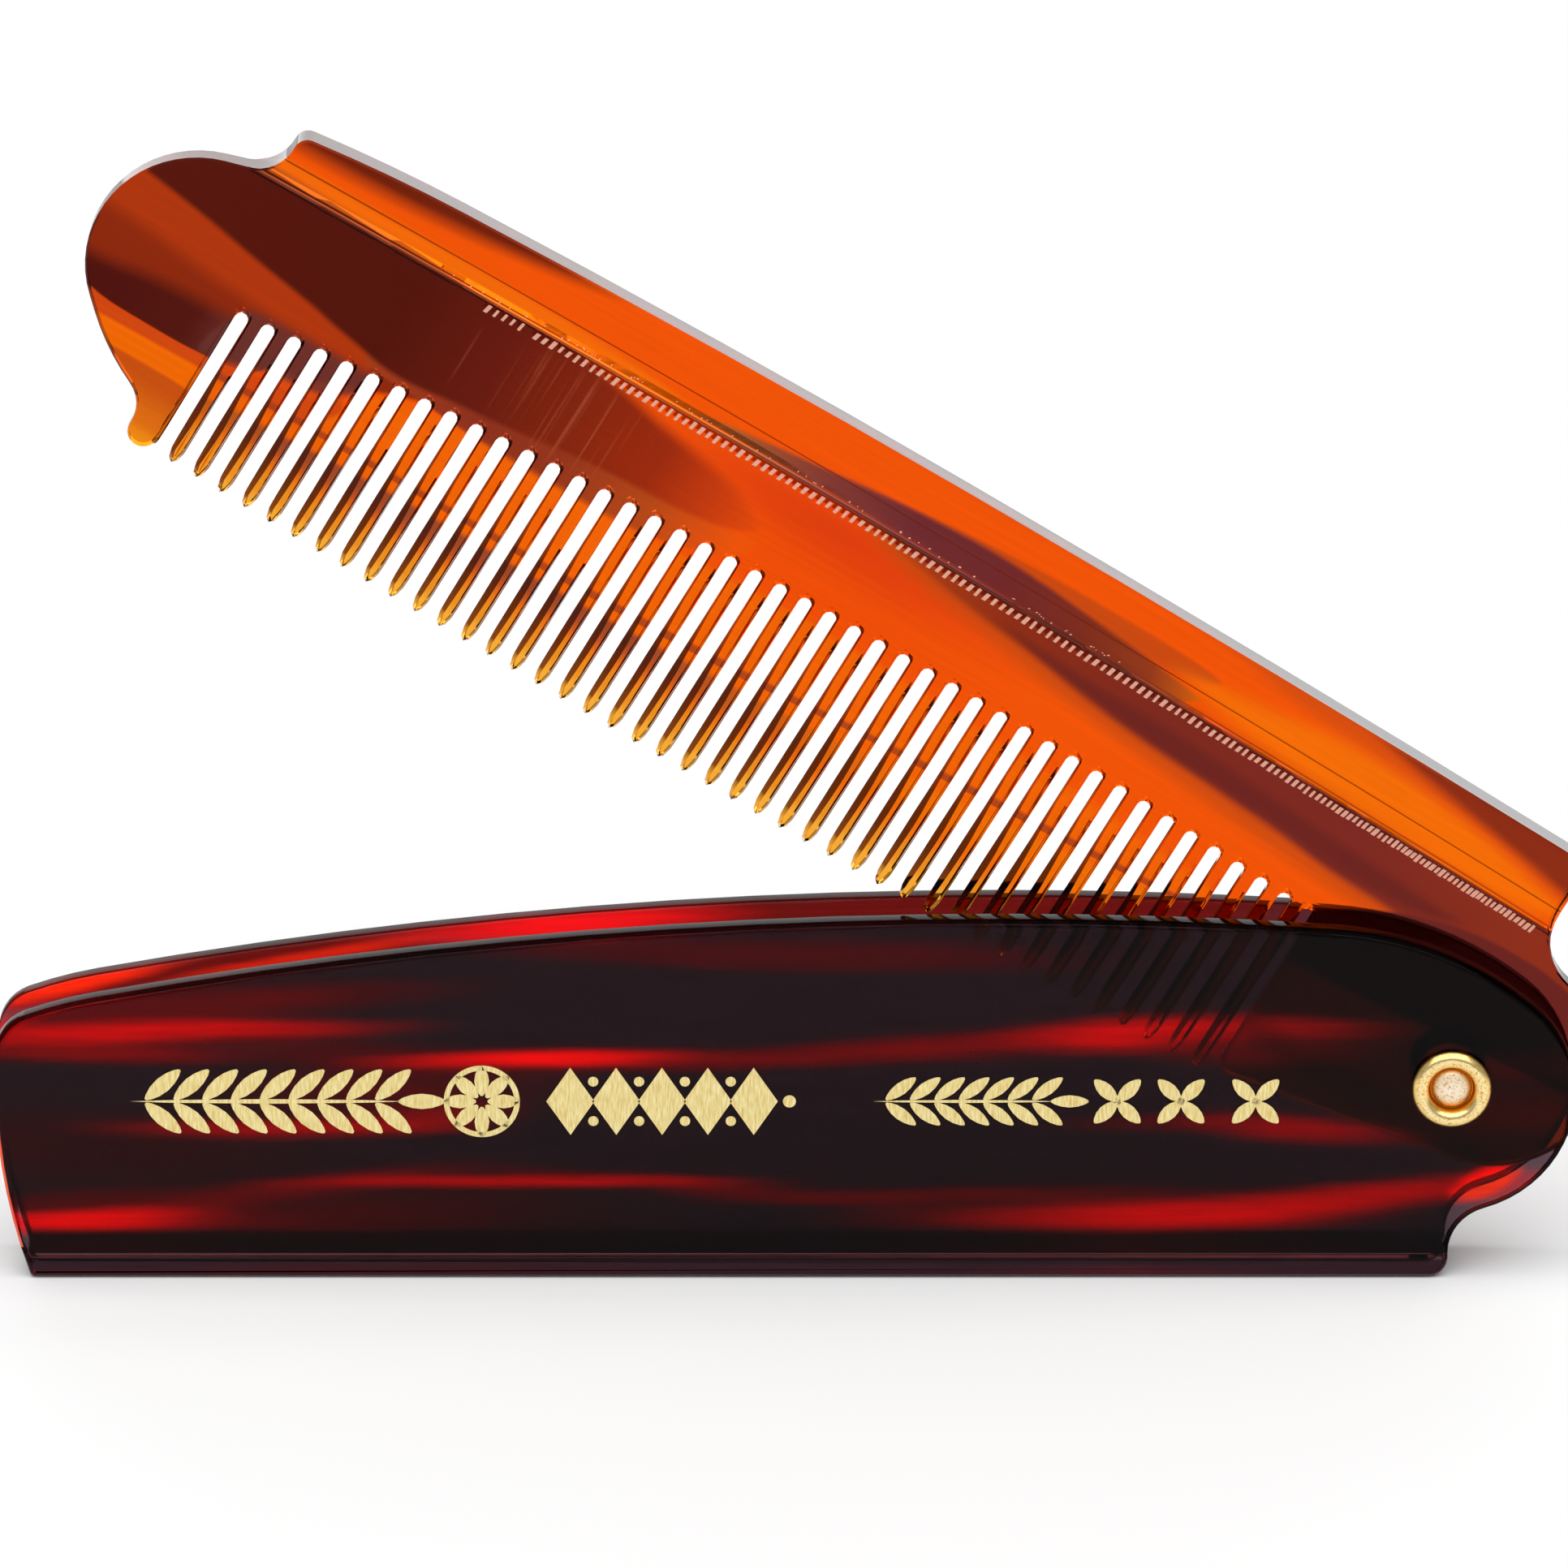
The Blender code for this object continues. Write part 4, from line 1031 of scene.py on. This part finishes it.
for shape in (leaf_shape, petal_shape, stem_shape, dot_shape, ring_shape, lozenge_shape):
    bpy.data.objects.remove(shape)
foil_border = joined(foil_parts, "foil_border")
edit_whole(foil_border)
bpy.ops.mesh.normals_make_consistent(inside=False)
bpy.ops.object.mode_set(mode="OBJECT")
thickness = foil_border.modifiers.new("foil", "SOLIDIFY")
thickness.thickness = FOIL_THICKNESS
thickness.offset = 0
bpy.ops.object.modifier_apply(modifier=thickness.name)
foil_border.data.transform(Matrix.Translation((0, LEAF_FACE_Y - FOIL_LIFT - FOIL_THICKNESS / 2, 0)))


def stamped_foil():
    """Hot-stamped gold foil: pale gold, brushed by the acetate's grain, with some darker specks."""
    finish, tree, place = new_finish("hot-stamped gold foil")
    # Brush marks 0.12 mm wide, as coarse as they need to be to show
    grain = drawn_noise(tree, place, 0.12 * MM, 0.9 * MM, 4.0)["Fac"]
    worn = add_node(tree, "MapRange", {"Value": grain, 1: 0.35, 2: 0.75})[0]
    shades = {0: worn, 6: linear("#F7E9AC"), 7: linear("#D8B860")}
    colour = add_node(tree, "Mix", shades, data_type="RGBA")[2]
    sockets = {"Base Color": colour, "Roughness": 0.38, "Metallic": 0.85}
    add_node(tree, "OutputMaterial", {"Surface": add_node(tree, "BsdfPrincipled", sockets)[0]})
    return finish


dress(foil_border, stamped_foil(), "case", "brass")


# The table: a plain white sweep, lit by a softbox above and one behind. The camera stands 0.8 m in
# front and looks down at the comb through a long lens, as in the photo.
TABLE_DROP = 0.05 * MM
CAMERA_PLACE, CAMERA_TILT = (0.00285, -0.800, 0.3038), math.radians(71.274)
LENS, SENSOR = 302.6, 36  # mm
BOUNCES = 14
CARD_WHITE, WHITE = (0.9, 0.9, 0.9, 1), (1, 1, 1, 1)


def table_paint():
    finish, tree, _ = new_finish("matt white card")
    sockets = {"Base Color": CARD_WHITE, "Roughness": 0.9}
    add_node(tree, "OutputMaterial", {"Surface": add_node(tree, "BsdfPrincipled", sockets)[0]})
    return finish


def softbox(name, place, aim, width, height, radiance):
    bpy.ops.object.light_add(type="AREA", location=place)
    lamp = bpy.context.object
    lamp.name = name
    lamp.data.shape = "RECTANGLE"
    lamp.data.size = width
    lamp.data.size_y = height
    lamp.data.energy = radiance * math.pi * width * height
    lamp.rotation_euler = (Vector(place) - Vector(aim)).to_track_quat("Z", "Y").to_euler()


bpy.ops.mesh.primitive_plane_add(size=4, location=(0, 0.6, -TABLE_DROP))
table = bpy.context.object
table.name = "table"
table.data.materials.append(table_paint())

softbox("softbox_above", (0, -0.7, 1.6), (0, 0, 0), 2.6, 2.6, 1.95)
softbox("softbox_behind", (0.1, 2.2, 0.55), (0, 0, 0.1), 2.3, 1.05, 1.8)
scene = bpy.context.scene
scene.world = bpy.data.worlds.new("studio")
scene.world.use_nodes = True
background = scene.world.node_tree.nodes["Background"].inputs
background["Color"].default_value = WHITE
background["Strength"].default_value = 0.4

bpy.ops.object.camera_add(location=CAMERA_PLACE, rotation=(CAMERA_TILT, 0, 0))
scene.camera = bpy.context.object
scene.camera.data.lens = LENS
scene.camera.data.sensor_width = SENSOR
scene.view_settings.view_transform = "Standard"
scene.cycles.max_bounces = BOUNCES
scene.cycles.transmission_bounces = BOUNCES
